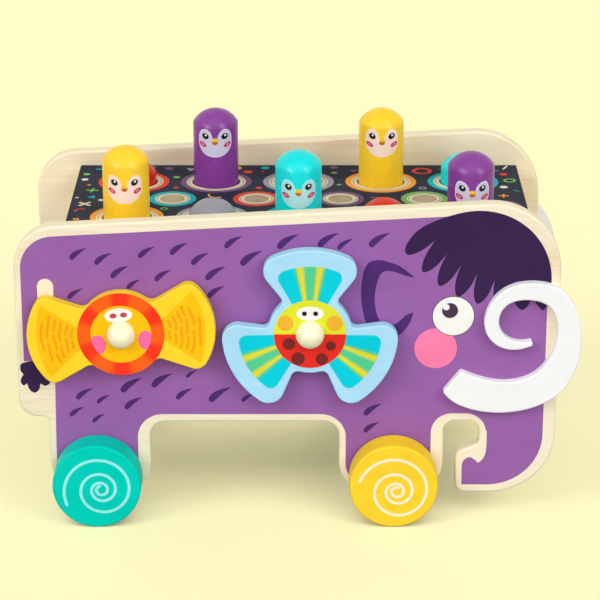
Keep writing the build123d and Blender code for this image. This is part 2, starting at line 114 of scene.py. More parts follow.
def rescale(tree, value, given, wanted):
    """A value moved from a given range to a wanted one, and held within it."""
    ends = zip(("From Min", "From Max", "To Min", "To Max"), (*given, *wanted))
    return add(tree, "ShaderNodeMapRange", [("Value", value), *ends]).outputs[0]


print("helpers ready; mid grey is", round(linear(128, 128, 128)[0], 3), "in linear light")

# %% [markdown]
# ## Floor, room and light
#
# The toy stands on a plain pale yellow floor that fills the picture. A yellow floor would also throw yellow
# light up onto the white tusk, so the floor shows its colour only to rays that look at it, and is a neutral
# pale grey to the light that bounces off it. The room does the same. Part of the floor's light is a glow
# that stands for the bright room, and it fades under the toy, where the toy hides the room: a painted shadow
# that lies over the lamps' real shadows. A wide soft light from the front carries the picture, with two
# smaller lamps at its sides. Two low lights behind the toy keep its back and its ends bright, and are kept
# out of reflections so that they leave no glare. Two glints show only in reflections: they give each peg its
# pair of soft highlights.

# %% Floor and room
WHITE = (1, 1, 1, 1)
PAGE_YELLOW = linear(255, 250, 198)
BOUNCE_GREY = linear(175, 175, 175)
FLOOR_HALF = 6.0
FLOOR_LAMP_SHARE = 0.5
FLOOR_GLOW = 0.537
SHADOW_REACH = 0.10
SHADOW_SAMPLES = 16
ROOM_SEEN = (0.2, 0.52)
DIMMEST_GLOW = 0.3
ROOM_STRENGTH = 0.29


def seen_directly(tree):
    """1 for rays that look at a surface: from the camera, in a reflection or through glass."""
    path = add(tree, "ShaderNodeLightPath").outputs
    looking = calculate(tree, "MAXIMUM", path["Is Camera Ray"], path["Is Glossy Ray"])
    return calculate(tree, "MAXIMUM", looking, path["Is Transmission Ray"])


def split_by_ray(tree, thrown, seen):
    """One shader for the light that a thing throws on others, and one for rays that look at it."""
    return add(tree, "ShaderNodeMixShader", [(0, seen_directly(tree)), (1, thrown), (2, seen)]).outputs[0]


def emptied_tree(block):
    """The node tree of a new material or room, with nothing in it yet."""
    block.use_nodes = True
    block.node_tree.nodes.clear()
    return block.node_tree


def pale_floor():
    """A floor that shows the page colour, the toy's cast and painted shadow, and bounces neutral light."""
    paper = bpy.data.materials.new("pale_floor")
    tree = emptied_tree(paper)
    shown = add(tree, "ShaderNodeBsdfDiffuse", [("Color", shade(PAGE_YELLOW, FLOOR_LAMP_SHARE))]).outputs[0]
    # Painted shadow: the floor's glow dims where the toy hides the room, on top of the lamps' real shadow.
    room_seen = add(tree, "ShaderNodeAmbientOcclusion", [("Distance", SHADOW_REACH)], samples=SHADOW_SAMPLES)
    strength = rescale(tree, room_seen.outputs["AO"], ROOM_SEEN, (DIMMEST_GLOW * FLOOR_GLOW, FLOOR_GLOW))
    glow = add(tree, "ShaderNodeEmission", [("Color", PAGE_YELLOW), ("Strength", strength)]).outputs[0]
    page = add(tree, "ShaderNodeAddShader", [(0, shown), (1, glow)]).outputs[0]
    bounced = add(tree, "ShaderNodeBsdfDiffuse", [("Color", BOUNCE_GREY)]).outputs[0]
    add(tree, "ShaderNodeOutputMaterial", [("Surface", split_by_ray(tree, bounced, page))])
    return paper


def soft_room():
    """A room that looks like the page and lights the toy evenly with neutral light."""
    room = bpy.data.worlds.new("soft_room")
    tree = emptied_tree(room)
    page = add(tree, "ShaderNodeBackground", [("Color", PAGE_YELLOW)]).outputs[0]
    lit = add(tree, "ShaderNodeBackground", [("Color", WHITE), ("Strength", ROOM_STRENGTH)]).outputs[0]
    add(tree, "ShaderNodeOutputWorld", [("Surface", split_by_ray(tree, lit, page))])
    return room


floor_mesh = bpy.data.meshes.new("floor")
floor_corners = [(x * FLOOR_HALF, y * FLOOR_HALF, 0) for x, y in ((-1, -1), (1, -1), (1, 1), (-1, 1))]
floor_mesh.from_pydata(floor_corners, [], [(0, 1, 2, 3)])
floor_mesh.materials.append(pale_floor())
floor = bpy.data.objects.new("floor", floor_mesh)
scene.collection.objects.link(floor)
scene.world = soft_room()
print("floor of", 2 * FLOOR_HALF, "metres, and a room")

# %% Lamps
from mathutils import Vector

LAMPS = {
    "front_light": ((0.0, -1.0, 0.6), 1.72, 100),
    "left_lamp": ((-0.80, -0.62, 0.62), 0.88, 24),
    "right_lamp": ((0.70, -0.72, 0.62), 0.8, 24),
    "back_left_light": ((-0.70, 0.75, 0.12), 1.1, 60),
    "back_right_light": ((0.70, 0.75, 0.12), 1.1, 60),
    "left_glint": ((-0.64, -0.76, 0.14), 1.9, 15),
    "right_glint": ((0.64, -0.76, 0.14), 1.9, 15),
}

for lamp_name, (direction, strength, width) in LAMPS.items():
    lamp = bpy.data.objects.new(lamp_name, bpy.data.lights.new(lamp_name, "SUN"))
    lamp.data.energy = strength
    lamp.data.angle = math.radians(width)
    lamp.rotation_euler = Vector(direction).to_track_quat("Z", "Y").to_euler()
    lamp.visible_glossy = not lamp_name.startswith("back")
    lamp.visible_diffuse = not lamp_name.endswith("glint")
    scene.collection.objects.link(lamp)
scene.view_settings.view_transform = "Standard"
print(len(LAMPS), "lamps")

# %% [markdown]
# ## Wood, paint and ink
#
# Bare birch is pale, with long faint figure and fine pores along the grain. Paint on wood is even, but it
# clouds a little, shows the grain below as very low ridges, and rubs paler on sharp edges. The patterns
# could be painted pictures, but noise that is stretched along the grain gives the same look at any
# distance, and it sticks to the piece because it reads the piece's own coordinates.

# %% Recipe steps for the finishes
EDGE_REACH = 0.7 * MM
EDGE_SAMPLES = 4
# How well the rounded and the flat facing agree: off an edge, and right on it.
EDGE_AGREEMENT = (0.995, 0.88)
EDGE_BREAKS = 220
EDGE_WEAR = (0.1, 0.8)
NOISE_RANGE = (0.3, 0.7)
# A mix node's colour sockets go by number, because several sockets share a name.
MIX_FACTOR, MIX_BELOW, MIX_ABOVE, MIX_RESULT = 0, 6, 7, 2
GRAIN_ALONG_X = (0.05, 1.0, 1.0)
GRAIN_ALONG_Y = (1.0, 0.05, 1.0)
GRAIN_ALONG_Z = (1.0, 1.0, 0.05)


def start_finish(name, **constants):
    """A material with its node tree and surface shader; constants are the shader's plain sockets."""
    finish = bpy.data.materials.new(name)
    finish.use_nodes = True
    tree = finish.node_tree
    surface = tree.nodes["Principled BSDF"]
    for socket, value in constants.items():
        surface.inputs[socket.replace("_", " ")].default_value = value
    return finish, tree, surface


def speckle(tree, per_metre, detail=3.0, stretch=(1.0, 1.0, 1.0)):
    """Noise fixed to the piece, with so many spots in a metre, stretched where a direction is under 1."""
    place = add(tree, "ShaderNodeTexCoord").outputs["Object"]
    stretched = add(tree, "ShaderNodeMapping", [("Vector", place), ("Scale", stretch)]).outputs[0]
    sockets = [("Vector", stretched), ("Scale", per_metre), ("Detail", detail)]
    return add(tree, "ShaderNodeTexNoise", sockets).outputs[0]


def ramp(tree, factor, stops):
    """A colour that runs through the stops, given as (place, colour)."""
    stops = list(stops)
    made = add(tree, "ShaderNodeValToRGB", [("Fac", factor)])
    elements = made.color_ramp.elements
    while len(elements) < len(stops):
        elements.new(1.0)
    for element, (place, colour) in zip(elements, stops):
        element.position = place
        element.color = colour
    return made.outputs["Color"]


def spread(tree, value, low, high):
    """A noise value spread over a range."""
    return rescale(tree, value, NOISE_RANGE, (low, high))


def blend(tree, factor, below, above, way="MIX"):
    """One colour over another, or multiplied with it."""
    sockets = [(MIX_FACTOR, factor), (MIX_BELOW, below), (MIX_ABOVE, above)]
    return add(tree, "ShaderNodeMix", sockets, data_type="RGBA", blend_type=way).outputs[MIX_RESULT]


def weighed(tree, coarse, fine, fine_share):
    """A coarse and a fine pattern, added in their shares."""
    coarse_part = calculate(tree, "MULTIPLY", coarse, 1 - fine_share)
    return calculate(tree, "ADD", coarse_part, calculate(tree, "MULTIPLY", fine, fine_share))


def rubbed_edges(tree):
    """How far a spot lies on a sharp edge, broken up as handling would break it."""
    turned = add(tree, "ShaderNodeBevel", [("Radius", EDGE_REACH)], samples=EDGE_SAMPLES).outputs[0]
    facing = add(tree, "ShaderNodeNewGeometry").outputs["Normal"]
    agree = add(tree, "ShaderNodeVectorMath", [(0, turned), (1, facing)], operation="DOT_PRODUCT")
    edge = rescale(tree, agree.outputs["Value"], EDGE_AGREEMENT, (0.0, 1.0))
    return calculate(tree, "MULTIPLY", edge, spread(tree, speckle(tree, EDGE_BREAKS), *EDGE_WEAR))


def raise_grain(tree, surface, height, depth, rounding=None):
    """Turns a pattern into low ridges on the surface; a rounding also softens the light over its edges."""
    bump = add(tree, "ShaderNodeBump", [("Height", height), ("Distance", depth)])
    if rounding:
        rounded = add(tree, "ShaderNodeBevel", [("Radius", rounding)], samples=EDGE_SAMPLES).outputs[0]
        tree.links.new(rounded, bump.inputs["Normal"])
    tree.links.new(bump.outputs[0], surface.inputs["Normal"])


def dress(tree, surface, colour, mottle, roughness):
    """Gives a surface its colour, and a roughness that varies with a pattern."""
    tree.links.new(colour, surface.inputs["Base Color"])
    tree.links.new(spread(tree, mottle, *roughness), surface.inputs["Roughness"])


print("recipe steps ready; edges rub over", round(EDGE_REACH / MM, 2), "mm")

# %% Bare wood
FIGURE_SPOTS = 16
FIGURE_DETAIL = 5.0
PORE_SPOTS = 420
PORE_DETAIL = 2.0
PORE_SHARE = 0.3
WOOD_TONES = (0.36, 0.52, 0.7)
PALE_STREAK = 1.04
HANDLED_EDGE = 1.06
WOOD_GLOSS = 0.3
WOOD_ROUGHNESS = (0.42, 0.6)
WOOD_RIDGE = 0.05 * MM
PLY_LAYERS = 5
PLY_LINE_LEVEL = 0.1
PLY_LINE_SHARE = 0.3
PLY_LINE_SHADE = 0.86
SIDEWAYS = 0.5
# A darker, warmer tone for the faces that look towards the other panel.
INNER_FACE_TONE = linear(224, 186, 148)
INNER_FACE_SHARE = 0.08
PANEL_LOW, PANEL_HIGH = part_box("front_panel")
PANEL_THICKNESS = PANEL_HIGH.y - PANEL_LOW.y


def across_panel(tree):
    """How far a spot lies across the toy, and how far its face looks that way."""
    place = add(tree, "ShaderNodeTexCoord").outputs
    apart = [add(tree, "ShaderNodeSeparateXYZ", [(0, place[name])]) for name in ("Object", "Normal")]
    return [parts.outputs["Y"] for parts in apart]


def ply_lines(tree):
    """Faint lines along a panel's cut edges, where its layers show."""
    across, facing = across_panel(tree)
    layer = calculate(tree, "MULTIPLY", across, math.pi * PLY_LAYERS / PANEL_THICKNESS)
    dark = calculate(tree, "GREATER_THAN", calculate(tree, "SINE", layer), PLY_LINE_LEVEL)
    cut = calculate(tree, "LESS_THAN", calculate(tree, "ABSOLUTE", facing), SIDEWAYS)
    return calculate(tree, "MULTIPLY", calculate(tree, "MULTIPLY", dark, cut), PLY_LINE_SHARE)


def inner_side(tree):
    """How much of a spot's colour turns darker and warmer: only where a panel faces the other panel."""
    across, facing = across_panel(tree)
    towards = calculate(tree, "MULTIPLY", calculate(tree, "SIGN", across), facing)
    return calculate(tree, "MULTIPLY", calculate(tree, "LESS_THAN", towards, -SIDEWAYS), INNER_FACE_SHARE)


def bare_wood(name, pale, deep, grain=GRAIN_ALONG_X, plies=False):
    """Lacquered wood: long figure, fine pores and paler handled edges."""
    finish, tree, surface = start_finish(name, Specular_IOR_Level=WOOD_GLOSS)
    figure = speckle(tree, FIGURE_SPOTS, FIGURE_DETAIL, grain)
    pores = speckle(tree, PORE_SPOTS, PORE_DETAIL, grain)
    tone = weighed(tree, figure, pores, PORE_SHARE)
    colour = ramp(tree, tone, zip(WOOD_TONES, (deep, pale, shade(pale, PALE_STREAK))))
    if plies:
        colour = blend(tree, ply_lines(tree), colour, shade(deep, PLY_LINE_SHADE))
        # Darker and warmer where the panel faces the other panel.
        colour = blend(tree, inner_side(tree), colour, INNER_FACE_TONE)
    colour = blend(tree, rubbed_edges(tree), colour, shade(pale, HANDLED_EDGE))
    dress(tree, surface, colour, pores, WOOD_ROUGHNESS)
    raise_grain(tree, surface, pores, WOOD_RIDGE)
    return finish


print("panel is", round(PANEL_THICKNESS / MM, 1), "mm thick, drawn with", PLY_LAYERS, "layers")

# %% Paint, steel and nylon
CLOUD_SPOTS = 38
CLOUD_DETAIL = 4.0
LIGHT_CLOUD_SHARE = 0.7
PAINT_PORE_SPOTS = 300
PAINT_PORE_SHARE = 0.25
PAINT_TONES = (0.34, 0.52, 0.68)
PAINT_RIDGE = 0.03 * MM
SHEEN_SPREAD = (-0.05, 0.09)
STEEL_LINES = 900
STEEL_DRAWN = (1.0, 1.0, 0.06)
STEEL_STOPS = [(0.35, linear(150, 150, 154)), (0.65, linear(196, 196, 198))]
STEEL_ROUGHNESS = (0.28, 0.46)
STEEL_RIDGE = 0.01 * MM
NYLON_SPOTS = 700
NYLON_STOPS = [(0.3, linear(222, 221, 214)), (0.7, linear(236, 235, 228))]
NYLON_MILKINESS = 0.15
NYLON_DEPTH = (0.002, 0.002, 0.002)
NYLON_ROUGHNESS = (0.38, 0.5)
NYLON_RIDGE = 0.02 * MM


def satin_paint(name, colour, sheen=0.36, grain=GRAIN_ALONG_X, worn=None, gloss=0.08, clouding=0.06,
                rounding=None):
    """Paint or ink on wood: faint clouds, the grain below, and paler rubbed edges."""
    finish, tree, surface = start_finish(name, Specular_IOR_Level=gloss)
    clouds = speckle(tree, CLOUD_SPOTS, CLOUD_DETAIL)
    pores = speckle(tree, PAINT_PORE_SPOTS, PORE_DETAIL, grain)
    tone = weighed(tree, clouds, pores, PAINT_PORE_SHARE)
    dark, light = shade(colour, 1 - clouding), shade(colour, 1 + clouding * LIGHT_CLOUD_SHARE)
    painted = ramp(tree, tone, zip(PAINT_TONES, (dark, colour, light)))
    if worn:
        painted = blend(tree, rubbed_edges(tree), painted, worn)
    dress(tree, surface, painted, clouds, [sheen + step for step in SHEEN_SPREAD])
    raise_grain(tree, surface, pores, PAINT_RIDGE, rounding)
    return finish


def brushed_steel(name):
    """Plain steel with fine drawn lines."""
    finish, tree, surface = start_finish(name, Metallic=1.0)
    lines = speckle(tree, STEEL_LINES, PORE_DETAIL, STEEL_DRAWN)
    dress(tree, surface, ramp(tree, lines, STEEL_STOPS), lines, STEEL_ROUGHNESS)
    raise_grain(tree, surface, lines, STEEL_RIDGE)
    return finish


def moulded_nylon(name):
    """Milky plastic with a fine moulded grain."""
    milky = {"Subsurface_Weight": NYLON_MILKINESS, "Subsurface_Radius": NYLON_DEPTH}
    finish, tree, surface = start_finish(name, **milky)
    mould = speckle(tree, NYLON_SPOTS, PORE_DETAIL)
    dress(tree, surface, ramp(tree, mould, NYLON_STOPS), mould, NYLON_ROUGHNESS)
    raise_grain(tree, surface, mould, NYLON_RIDGE)
    return finish


print("paint shows ridges of", round(PAINT_RIDGE / MM, 2), "mm")

# %% [markdown]
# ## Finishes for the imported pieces
#
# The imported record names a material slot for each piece, such as birch_ply for the two sides. Each piece
# could get its finish by hand, but one table gives each slot its finish, and one loop puts the finishes on.
# Turned pieces have their grain along their own axis, so the pegs take an upright grain and the sides a
# level one.

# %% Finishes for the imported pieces
TEAL = linear(2, 205, 184)
WORN_TEAL = shade(TEAL, 1.35)
SUN_YELLOW = linear(253, 212, 50)
WORN_YELLOW = linear(255, 228, 120)
BOX_WOOD = (linear(236, 219, 184), linear(222, 200, 160))
PEG_PAINTS = {
    "yellow": linear(255, 206, 44),
    "grey": linear(146, 147, 156),
    "teal": linear(0, 220, 223),
    "red": linear(210, 38, 36),
    "purple": linear(132, 60, 150),
}
WHEEL_GLOSS = 0.02
PEG_GLOSS = 0.25
PEG_SHEEN = 0.24
PEG_ROUNDING = 4.5 * MM
CREAM = linear(250, 247, 206)
CREAM_SHEEN = 0.3
CREAM_GLOSS = 0.3
TUSK_WHITE = linear(243, 243, 241)
TUSK_SHEEN = 0.42
TUSK_CLOUDING = 0.02
SLATE = linear(44, 48, 66)
BOW_YELLOW = linear(255, 214, 44)
FAN_BLUE = linear(172, 222, 245)

finishes = {
    "birch_ply": bare_wood("birch_ply", linear(243, 231, 202), linear(232, 213, 174), plies=True),
    "box_wood": bare_wood("box_wood", *BOX_WOOD, GRAIN_ALONG_Y),
    "plain_beech": bare_wood("plain_beech", linear(194, 170, 138), linear(158, 134, 104), GRAIN_ALONG_Z),
    "slate_print": bare_wood("board_edge", *BOX_WOOD, GRAIN_ALONG_Y),
    "steel": brushed_steel("steel"),
    "washer_nylon": moulded_nylon("washer_nylon"),
    "teal_paint": satin_paint("teal_paint", TEAL, worn=WORN_TEAL, gloss=WHEEL_GLOSS),
    "yellow_paint": satin_paint("yellow_paint", SUN_YELLOW, worn=WORN_YELLOW, gloss=WHEEL_GLOSS),
    "bow_yellow": satin_paint("bow_yellow", BOW_YELLOW, worn=linear(255, 232, 130)),
    "fan_blue": satin_paint("fan_blue", FAN_BLUE, worn=linear(222, 242, 250)),
    "cream_paint": satin_paint("cream_paint", CREAM, CREAM_SHEEN, GRAIN_ALONG_Z, gloss=CREAM_GLOSS),
    "tusk_white": satin_paint("tusk_white", TUSK_WHITE, TUSK_SHEEN, worn=linear(252, 252, 251),
                              clouding=TUSK_CLOUDING),
}
for paint_name, paint in PEG_PAINTS.items():
    finishes["peg_" + paint_name] = satin_paint("peg_" + paint_name, paint, PEG_SHEEN, GRAIN_ALONG_Z,
                                                gloss=PEG_GLOSS, rounding=PEG_ROUNDING)

for row in frame["record"]["subparts"]:
    for slot in frame["nodes"][row["node"]].material_slots:
        slot.material = finishes[row["material_slot"]]

# %% [markdown]
# ## Drawing with outlines
#
# All the pictures on the toy are prints: flat shapes, most of them of one ink. Each shape is drawn as an
# outline in millimetres and becomes a very thin closed plate on the surface. It could be a picture on the
# surface instead, but plates keep crisp edges at any zoom and export as real geometry. An outline flows
# through a few points, and a point marked TIP stays sharp.

# %% Outline helpers
import bmesh
from mathutils import Matrix, geometry

TIP = "tip"


def flowing(points, steps=8):
    """A closed outline that flows through its points and is sharp at each TIP."""
    spots = [Vector(point[:2]) for point in points]
    sharp = [len(point) > 2 for point in points]
    count = len(spots)
    loop = []
    for i, start in enumerate(spots):
        j = (i + 1) % count
        end = spots[j]
        third = (end - start).length / 3
        leave = end - start if sharp[i] else end - spots[i - 1]
        arrive = end - start if sharp[j] else spots[(j + 1) % count] - start
        bend = (start, start + leave.normalized() * third, end - arrive.normalized() * third, end)
        loop += geometry.interpolate_bezier(*bend, steps + 1)[:-1]
    return [tuple(point) for point in loop]


def oval(u, v, half_width, half_height=None, count=48):
    """A circle, or an oval with its own half height."""
    turns = [2 * math.pi * i / count for i in range(count)]
    tall = half_height or half_width
    return [(u + half_width * math.cos(turn), v + tall * math.sin(turn)) for turn in turns]


def arc(u, v, radius, start, end, count=24):
    """Points along an arc, in degrees."""
    turns = [math.radians(start + (end - start) * i / count) for i in range(count + 1)]
    return [(u + radius * math.cos(turn), v + radius * math.sin(turn)) for turn in turns]


def ribbon(path, width, cap=8):
    """The outline of a line of even width with round ends."""
    spots = [Vector(point) for point in path]
    ways = [(b - a).normalized() for a, b in zip(spots[:1] + spots[:-1], spots[1:] + spots[-1:])]
    across = [way.orthogonal() * (width / 2) for way in ways]
    left = [spot + side for spot, side in zip(spots, across)]
    right = [spot - side for spot, side in zip(spots, across)]
    turns = [Matrix.Rotation(-math.pi * i / cap, 2) for i in range(1, cap)]
    end_cap = [spots[-1] + turn @ across[-1] for turn in turns]
    start_cap = [spots[0] - turn @ across[0] for turn in turns]
    return [tuple(point) for point in left + end_cap + right[::-1] + start_cap]


print("outline helpers ready")

# %% [markdown]
# ## From outline to plate
#
# A plate has a front, a back and a rim, and shares its corners between them, so it is closed. It could be a
# single flat sheet, but a closed plate has a real thickness, so it can't flicker on the surface below.
# Where one ink lies on another it starts just inside the layer below. Each picture is one piece that rides
# on the body that carries it.

# %% Plate helpers
INK_STEP = 0.06
INK_SINK = 0.02


def add_plate(mesh, loops, place, level, index):
    """Adds one closed plate: loops are its outline and its holes, and level is its place in the stack."""
    triangles = geometry.tessellate_polygon([[Vector((u, v, 0)) for u, v in loop] for loop in loops])
    spots = [spot for loop in loops for spot in loop]
    backs = [mesh.verts.new(place(u, v, (level - 1) * INK_STEP - INK_SINK)) for u, v in spots]
    fronts = [mesh.verts.new(place(u, v, level * INK_STEP)) for u, v in spots]
    faces = [mesh.faces.new([fronts[i] for i in triangle]) for triangle in triangles]
    faces += [mesh.faces.new([backs[i] for i in reversed(triangle)]) for triangle in triangles]
    start = 0
    for loop in loops:
        ring = list(range(start, start + len(loop)))
        for a, b in zip(ring, ring[1:] + ring[:1]):
            faces.append(mesh.faces.new((backs[a], backs[b], fronts[b], fronts[a])))
        start += len(loop)
    for face in faces:
        face.material_index = index


def keep_piece(name, body, mesh, inks):
    """Turns a finished mesh into a piece that rides on a body."""
    bmesh.ops.recalc_face_normals(mesh, faces=mesh.faces)
    open_edges = sum(not edge.is_manifold for edge in mesh.edges)
    data = bpy.data.meshes.new(name)
    mesh.to_mesh(data)
    mesh.free()
    for ink in inks:
        data.materials.append(ink)
    piece = bpy.data.objects.new(name, data)
    scene.collection.objects.link(piece)
    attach(piece, body)
    print(name, "has", len(data.polygons), "faces and", open_edges, "open edges")


def lay_print(name, body, place, layers):
    """A printed piece. A layer is an ink, its level and its shapes; a shape is an outline and its holes."""
    mesh = bmesh.new()
    inks = []
    for ink, level, shapes in layers:
        if ink not in inks:
            inks.append(ink)
        for loops in shapes:
            add_plate(mesh, loops, place, level, inks.index(ink))
    keep_piece(name, body, mesh, inks)


print("each ink is", INK_STEP, "mm thick")

# %% [markdown]
# ## The purple field
#
# The sides are printed purple up to an even border of bare wood. Its outline could be drawn again by hand,
# but it follows the panel's own edge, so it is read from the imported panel: the rim of the flat outer face,
# moved inwards. At the rump the border turns in to leave the tail free, as a strip with a bare slot beside
# it, and above the curl of the trunk it runs to a point.

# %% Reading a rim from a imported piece
Y_AXIS, Z_AXIS = 1, 2
FLAT_WITHIN = 0.01 * MM
CLOSE_POINTS = 0.15


def flat_rims(node, axis, side):
    """The rims of a piece's flat face in millimetres, longest first: its outer edge, and then its holes."""
    solid = frame["nodes"][node].data
    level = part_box(node)[0 if side < 0 else 1][axis]
    first, second = [i for i in range(3) if i != axis]
    spots = [(round(vertex.co[first] / MM, 3), round(vertex.co[second] / MM, 3)) for vertex in solid.vertices]
    flat = [abs(vertex.co[axis] - level) < FLAT_WITHIN for vertex in solid.vertices]
    steps = set()
    for polygon in solid.polygons:
        if all(flat[i] for i in polygon.vertices):
            ring = [spots[i] for i in polygon.vertices]
            steps.update(zip(ring, ring[1:] + ring[:1]))
    rims = {a: b for a, b in sorted(steps) if (b, a) not in steps}
    loops = []
    while rims:
        start, spot = rims.popitem()
        loop = [start]
        while spot != start:
            loop.append(spot)
            spot = rims.pop(spot)
        loops.append(loop)
    return sorted(loops, key=lambda loop: max(loop)[0] - min(loop)[0], reverse=True)


def anticlockwise(loop):
    """The loop in anticlockwise order."""
    area = sum(a[0] * b[1] - b[0] * a[1] for a, b in zip(loop, loop[1:] + loop[:1]))
    return loop if area > 0 else loop[::-1]


def inset(loop, distance):
    """An anticlockwise loop moved inwards, with points that fall together dropped."""
    moved = []
    for before, here, after in zip(loop[-1:] + loop[:-1], loop, loop[1:] + loop[:1]):
        come = (Vector(here) - Vector(before)).normalized()
        go = (Vector(after) - Vector(here)).normalized()
        spot = Vector(here) + (come.orthogonal() + go.orthogonal()) * (distance / (1 + come.dot(go)))
        if not moved or (spot - moved[-1]).length > CLOSE_POINTS:
            moved.append(spot)
    return [tuple(spot) for spot in moved]


print("a face counts as flat within", FLAT_WITHIN / MM, "mm")

# %% Curl and tail
BORDER = 4.1
TAIL_END = 97.0
TAIL_SLOT_LEFT = -149.2
TAIL_SLOT_RIGHT = -139.9
TAIL_SLOT_TOP = 147.6
LEG_INK_TOP = 45.0
CURL_LINE = [(109.9, 52.8, TIP), (109.8, 42.2), (109.0, 37.6), (107.4, 34.7), (105.2, 32.8, TIP),
             (103.0, 34.9), (100.3, 36.4), (97.6, 35.3), (95.9, 32.4), (95.7, 26.0, TIP)]
CURL_STEPS = 6


def kept_from(loop, gone):
    """The loop without its run of points that are gone, in order from the run's end round to its start."""
    first = next(i for i in range(len(loop)) if gone[i] and not gone[i - 1])
    return (loop[first:] + loop[:first])[sum(gone):]


def pointed_curl(loop):
    """The field's outline with the point above the trunk's curl worked in."""
    (left, bottom, _), (right, top, _) = CURL_LINE[-1], CURL_LINE[0]
    gone = [left - BORDER < u < right + BORDER / 2 and bottom < v < top for u, v in loop]
    kept = kept_from(loop, gone)
    return kept + flowing(CURL_LINE, CURL_STEPS)[:CURL_STEPS * (len(CURL_LINE) - 1) + 1]


def free_tail(loop):
    """The field's outline with the tail strip and its slot worked in, in place of the rump's corner."""
    kept = kept_from(loop, [u < TAIL_SLOT_RIGHT and LEG_INK_TOP < v < TAIL_END for u, v in loop])
    middle = (TAIL_SLOT_LEFT + TAIL_SLOT_RIGHT) / 2
    half = (TAIL_SLOT_RIGHT - TAIL_SLOT_LEFT) / 2
    strip = [(kept[-1][0], TAIL_END), (TAIL_SLOT_LEFT, TAIL_END)]
    return kept + strip + arc(middle, TAIL_SLOT_TOP - half, half, 180, 0) + [(kept[0][0], LEG_INK_TOP)]


print("the tail's slot is", round(TAIL_SLOT_RIGHT - TAIL_SLOT_LEFT, 1), "mm wide")

# %% The purple field
SIDES = {"front": -1, "rear": 1}
PRINT_ACROSS, PRINT_UP = -1.7, -0.6
SIDE_SHEEN = 0.42
purple_ink = satin_paint("purple_ink", linear(152, 98, 166), SIDE_SHEEN)


def on_panel(side):
    """Puts a drawing on the outer face of a panel: side is -1 in front and 1 at the back."""
    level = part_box("front_panel" if side < 0 else "rear_panel")[0 if side < 0 else 1].y
    return lambda u, v, lift: Vector((u * MM, level + side * lift * MM, v * MM))


for side_name, side in SIDES.items():
    outline, *holes = flat_rims(side_name + "_panel", Y_AXIS, side)
    field = [(u + PRINT_ACROSS, v + PRINT_UP) for u, v in inset(anticlockwise(outline), BORDER)]
    field = free_tail(pointed_curl(field))
    lay_print(side_name + "_purple_field", "frame", on_panel(side), [(purple_ink, 1, [[field] + holes])])

# %% [markdown]
# ## Hair, tail and face
#
# Dark ink draws the woolly coat as short comma strokes, a fringe of locks that hangs from a round crown,
# the tuft at the end of the tail and the edge of the ear. Each lock could be drawn point by point, but it
# needs only its tip and the notches beside it: a helper rounds it out. The eye and cheek are discs, laid
# over one another in the order of the print.

# %% Coat strokes
STROKE = [(0.0, 0.0), (0.1, -1.6), (1.7, -2.4), (3.4, -1.2), (6.5, 1.8), (9.4, 4.3), (12.1, 6.3, TIP),
          (9.2, 5.8), (6.0, 4.9), (3.2, 3.6), (1.2, 1.9)]
STROKE_PLACES = [
    (-130, 161, 0.81), (-116, 158, 0.84), (-107, 150, 0.87), (-91, 162, 0.80), (-82, 148, 0.80),
    (-73, 164, 0.86), (-61, 158, 0.86), (-53, 149, 0.97), (-42, 168, 0.86), (-33, 158, 1.05),
    (-12, 168, 1.02), (11, 169, 0.99), (22, 167, 0.76), (40, 169, 1.00), (-52, 138, 0.84),
    (-98, 143, 0.66), (-132, 137, 0.75), (-103, 80, 1.05), (-85, 83, 1.02), (-71, 75, 0.82),
    (-52, 74, 1.08), (-65, 88, 0.55), (-33, 73, 0.62), (-101, 69, 0.88), (-117, 72, 0.64),
    (-129, 75, 0.82), (-120, 60, 0.64), (-133, 64, 0.72), (38, 65, 0.88), (38, 54, 0.78),
]
STROKE_STEPS = 5
dark_ink = satin_paint("dark_ink", linear(78, 42, 110), SIDE_SHEEN)


def stroke(u, v, size):
    """One comma stroke of the coat, with its fat end at a place."""
    points = [(u + across * size, v + up * size, *tip) for across, up, *tip in STROKE]
    return flowing(points, STROKE_STEPS)


def print_on_sides(**prints):
    """Lays the same prints on the outer faces of both panels."""
    for side_name, side in SIDES.items():
        for name, layers in prints.items():
            lay_print(f"{side_name}_{name}", "frame", on_panel(side), layers)


print_on_sides(coat_strokes=[(dark_ink, 2, [[stroke(*place)] for place in STROKE_PLACES])])

# %% Fringe, tuft and ear
CROWN_CENTRE = (102.6, 146.7)
CROWN_RADIUS = 41.7
CROWN_START, CROWN_END, CROWN_STEPS = 96, 0, 8
HAIR_STEPS = 6
FRINGE_LEFT = [(61.0, 167.5), (67.2, 176.3), (76.5, 182.0), (88.5, 186.2)]
FRINGE_RIGHT = [(143.5, 138.0)]
LOCK_TIPS = [(140.6, 128.7), (127.9, 128.7), (114.8, 130.2), (102.3, 132.5), (90.9, 136.9), (80.3, 143.5),
             (70.8, 151.9), (61.4, 162.6)]
LOCK_NOTCHES = [(133.6, 141.0), (121.6, 143.0), (111.8, 146.7), (101.9, 150.8), (92.4, 155.8),
                (84.1, 162.3), (77.5, 170.7)]
LOCK_BULGE = 1.8
DOWN_SHARES = (0.45, 0.8)
UP_SHARES = (0.2, 0.55)
TUFT = [(-149.2, 96.4), (-146.0, 91.0), (-143.4, 84.6), (-146.4, 81.7), (-149.4, 83.2, TIP),
        (-150.3, 79.4), (-153.0, 77.4), (-155.8, 79.4), (-157.0, 83.2, TIP), (-159.3, 82.0),
        (-160.7, 85.0), (-158.9, 88.9, TIP), (-160.6, 91.4), (-159.6, 95.6)]
EAR_OUTER = [(66.3, 148.4, TIP), (58.2, 154.9), (51.5, 157.7), (45.4, 158.9), (39.6, 157.0),
             (36.4, 148.0), (36.2, 132.0), (40.5, 117.5), (49.5, 111.0), (58.7, 113.9), (63.9, 120.8),
             (65.9, 127.0, TIP)]
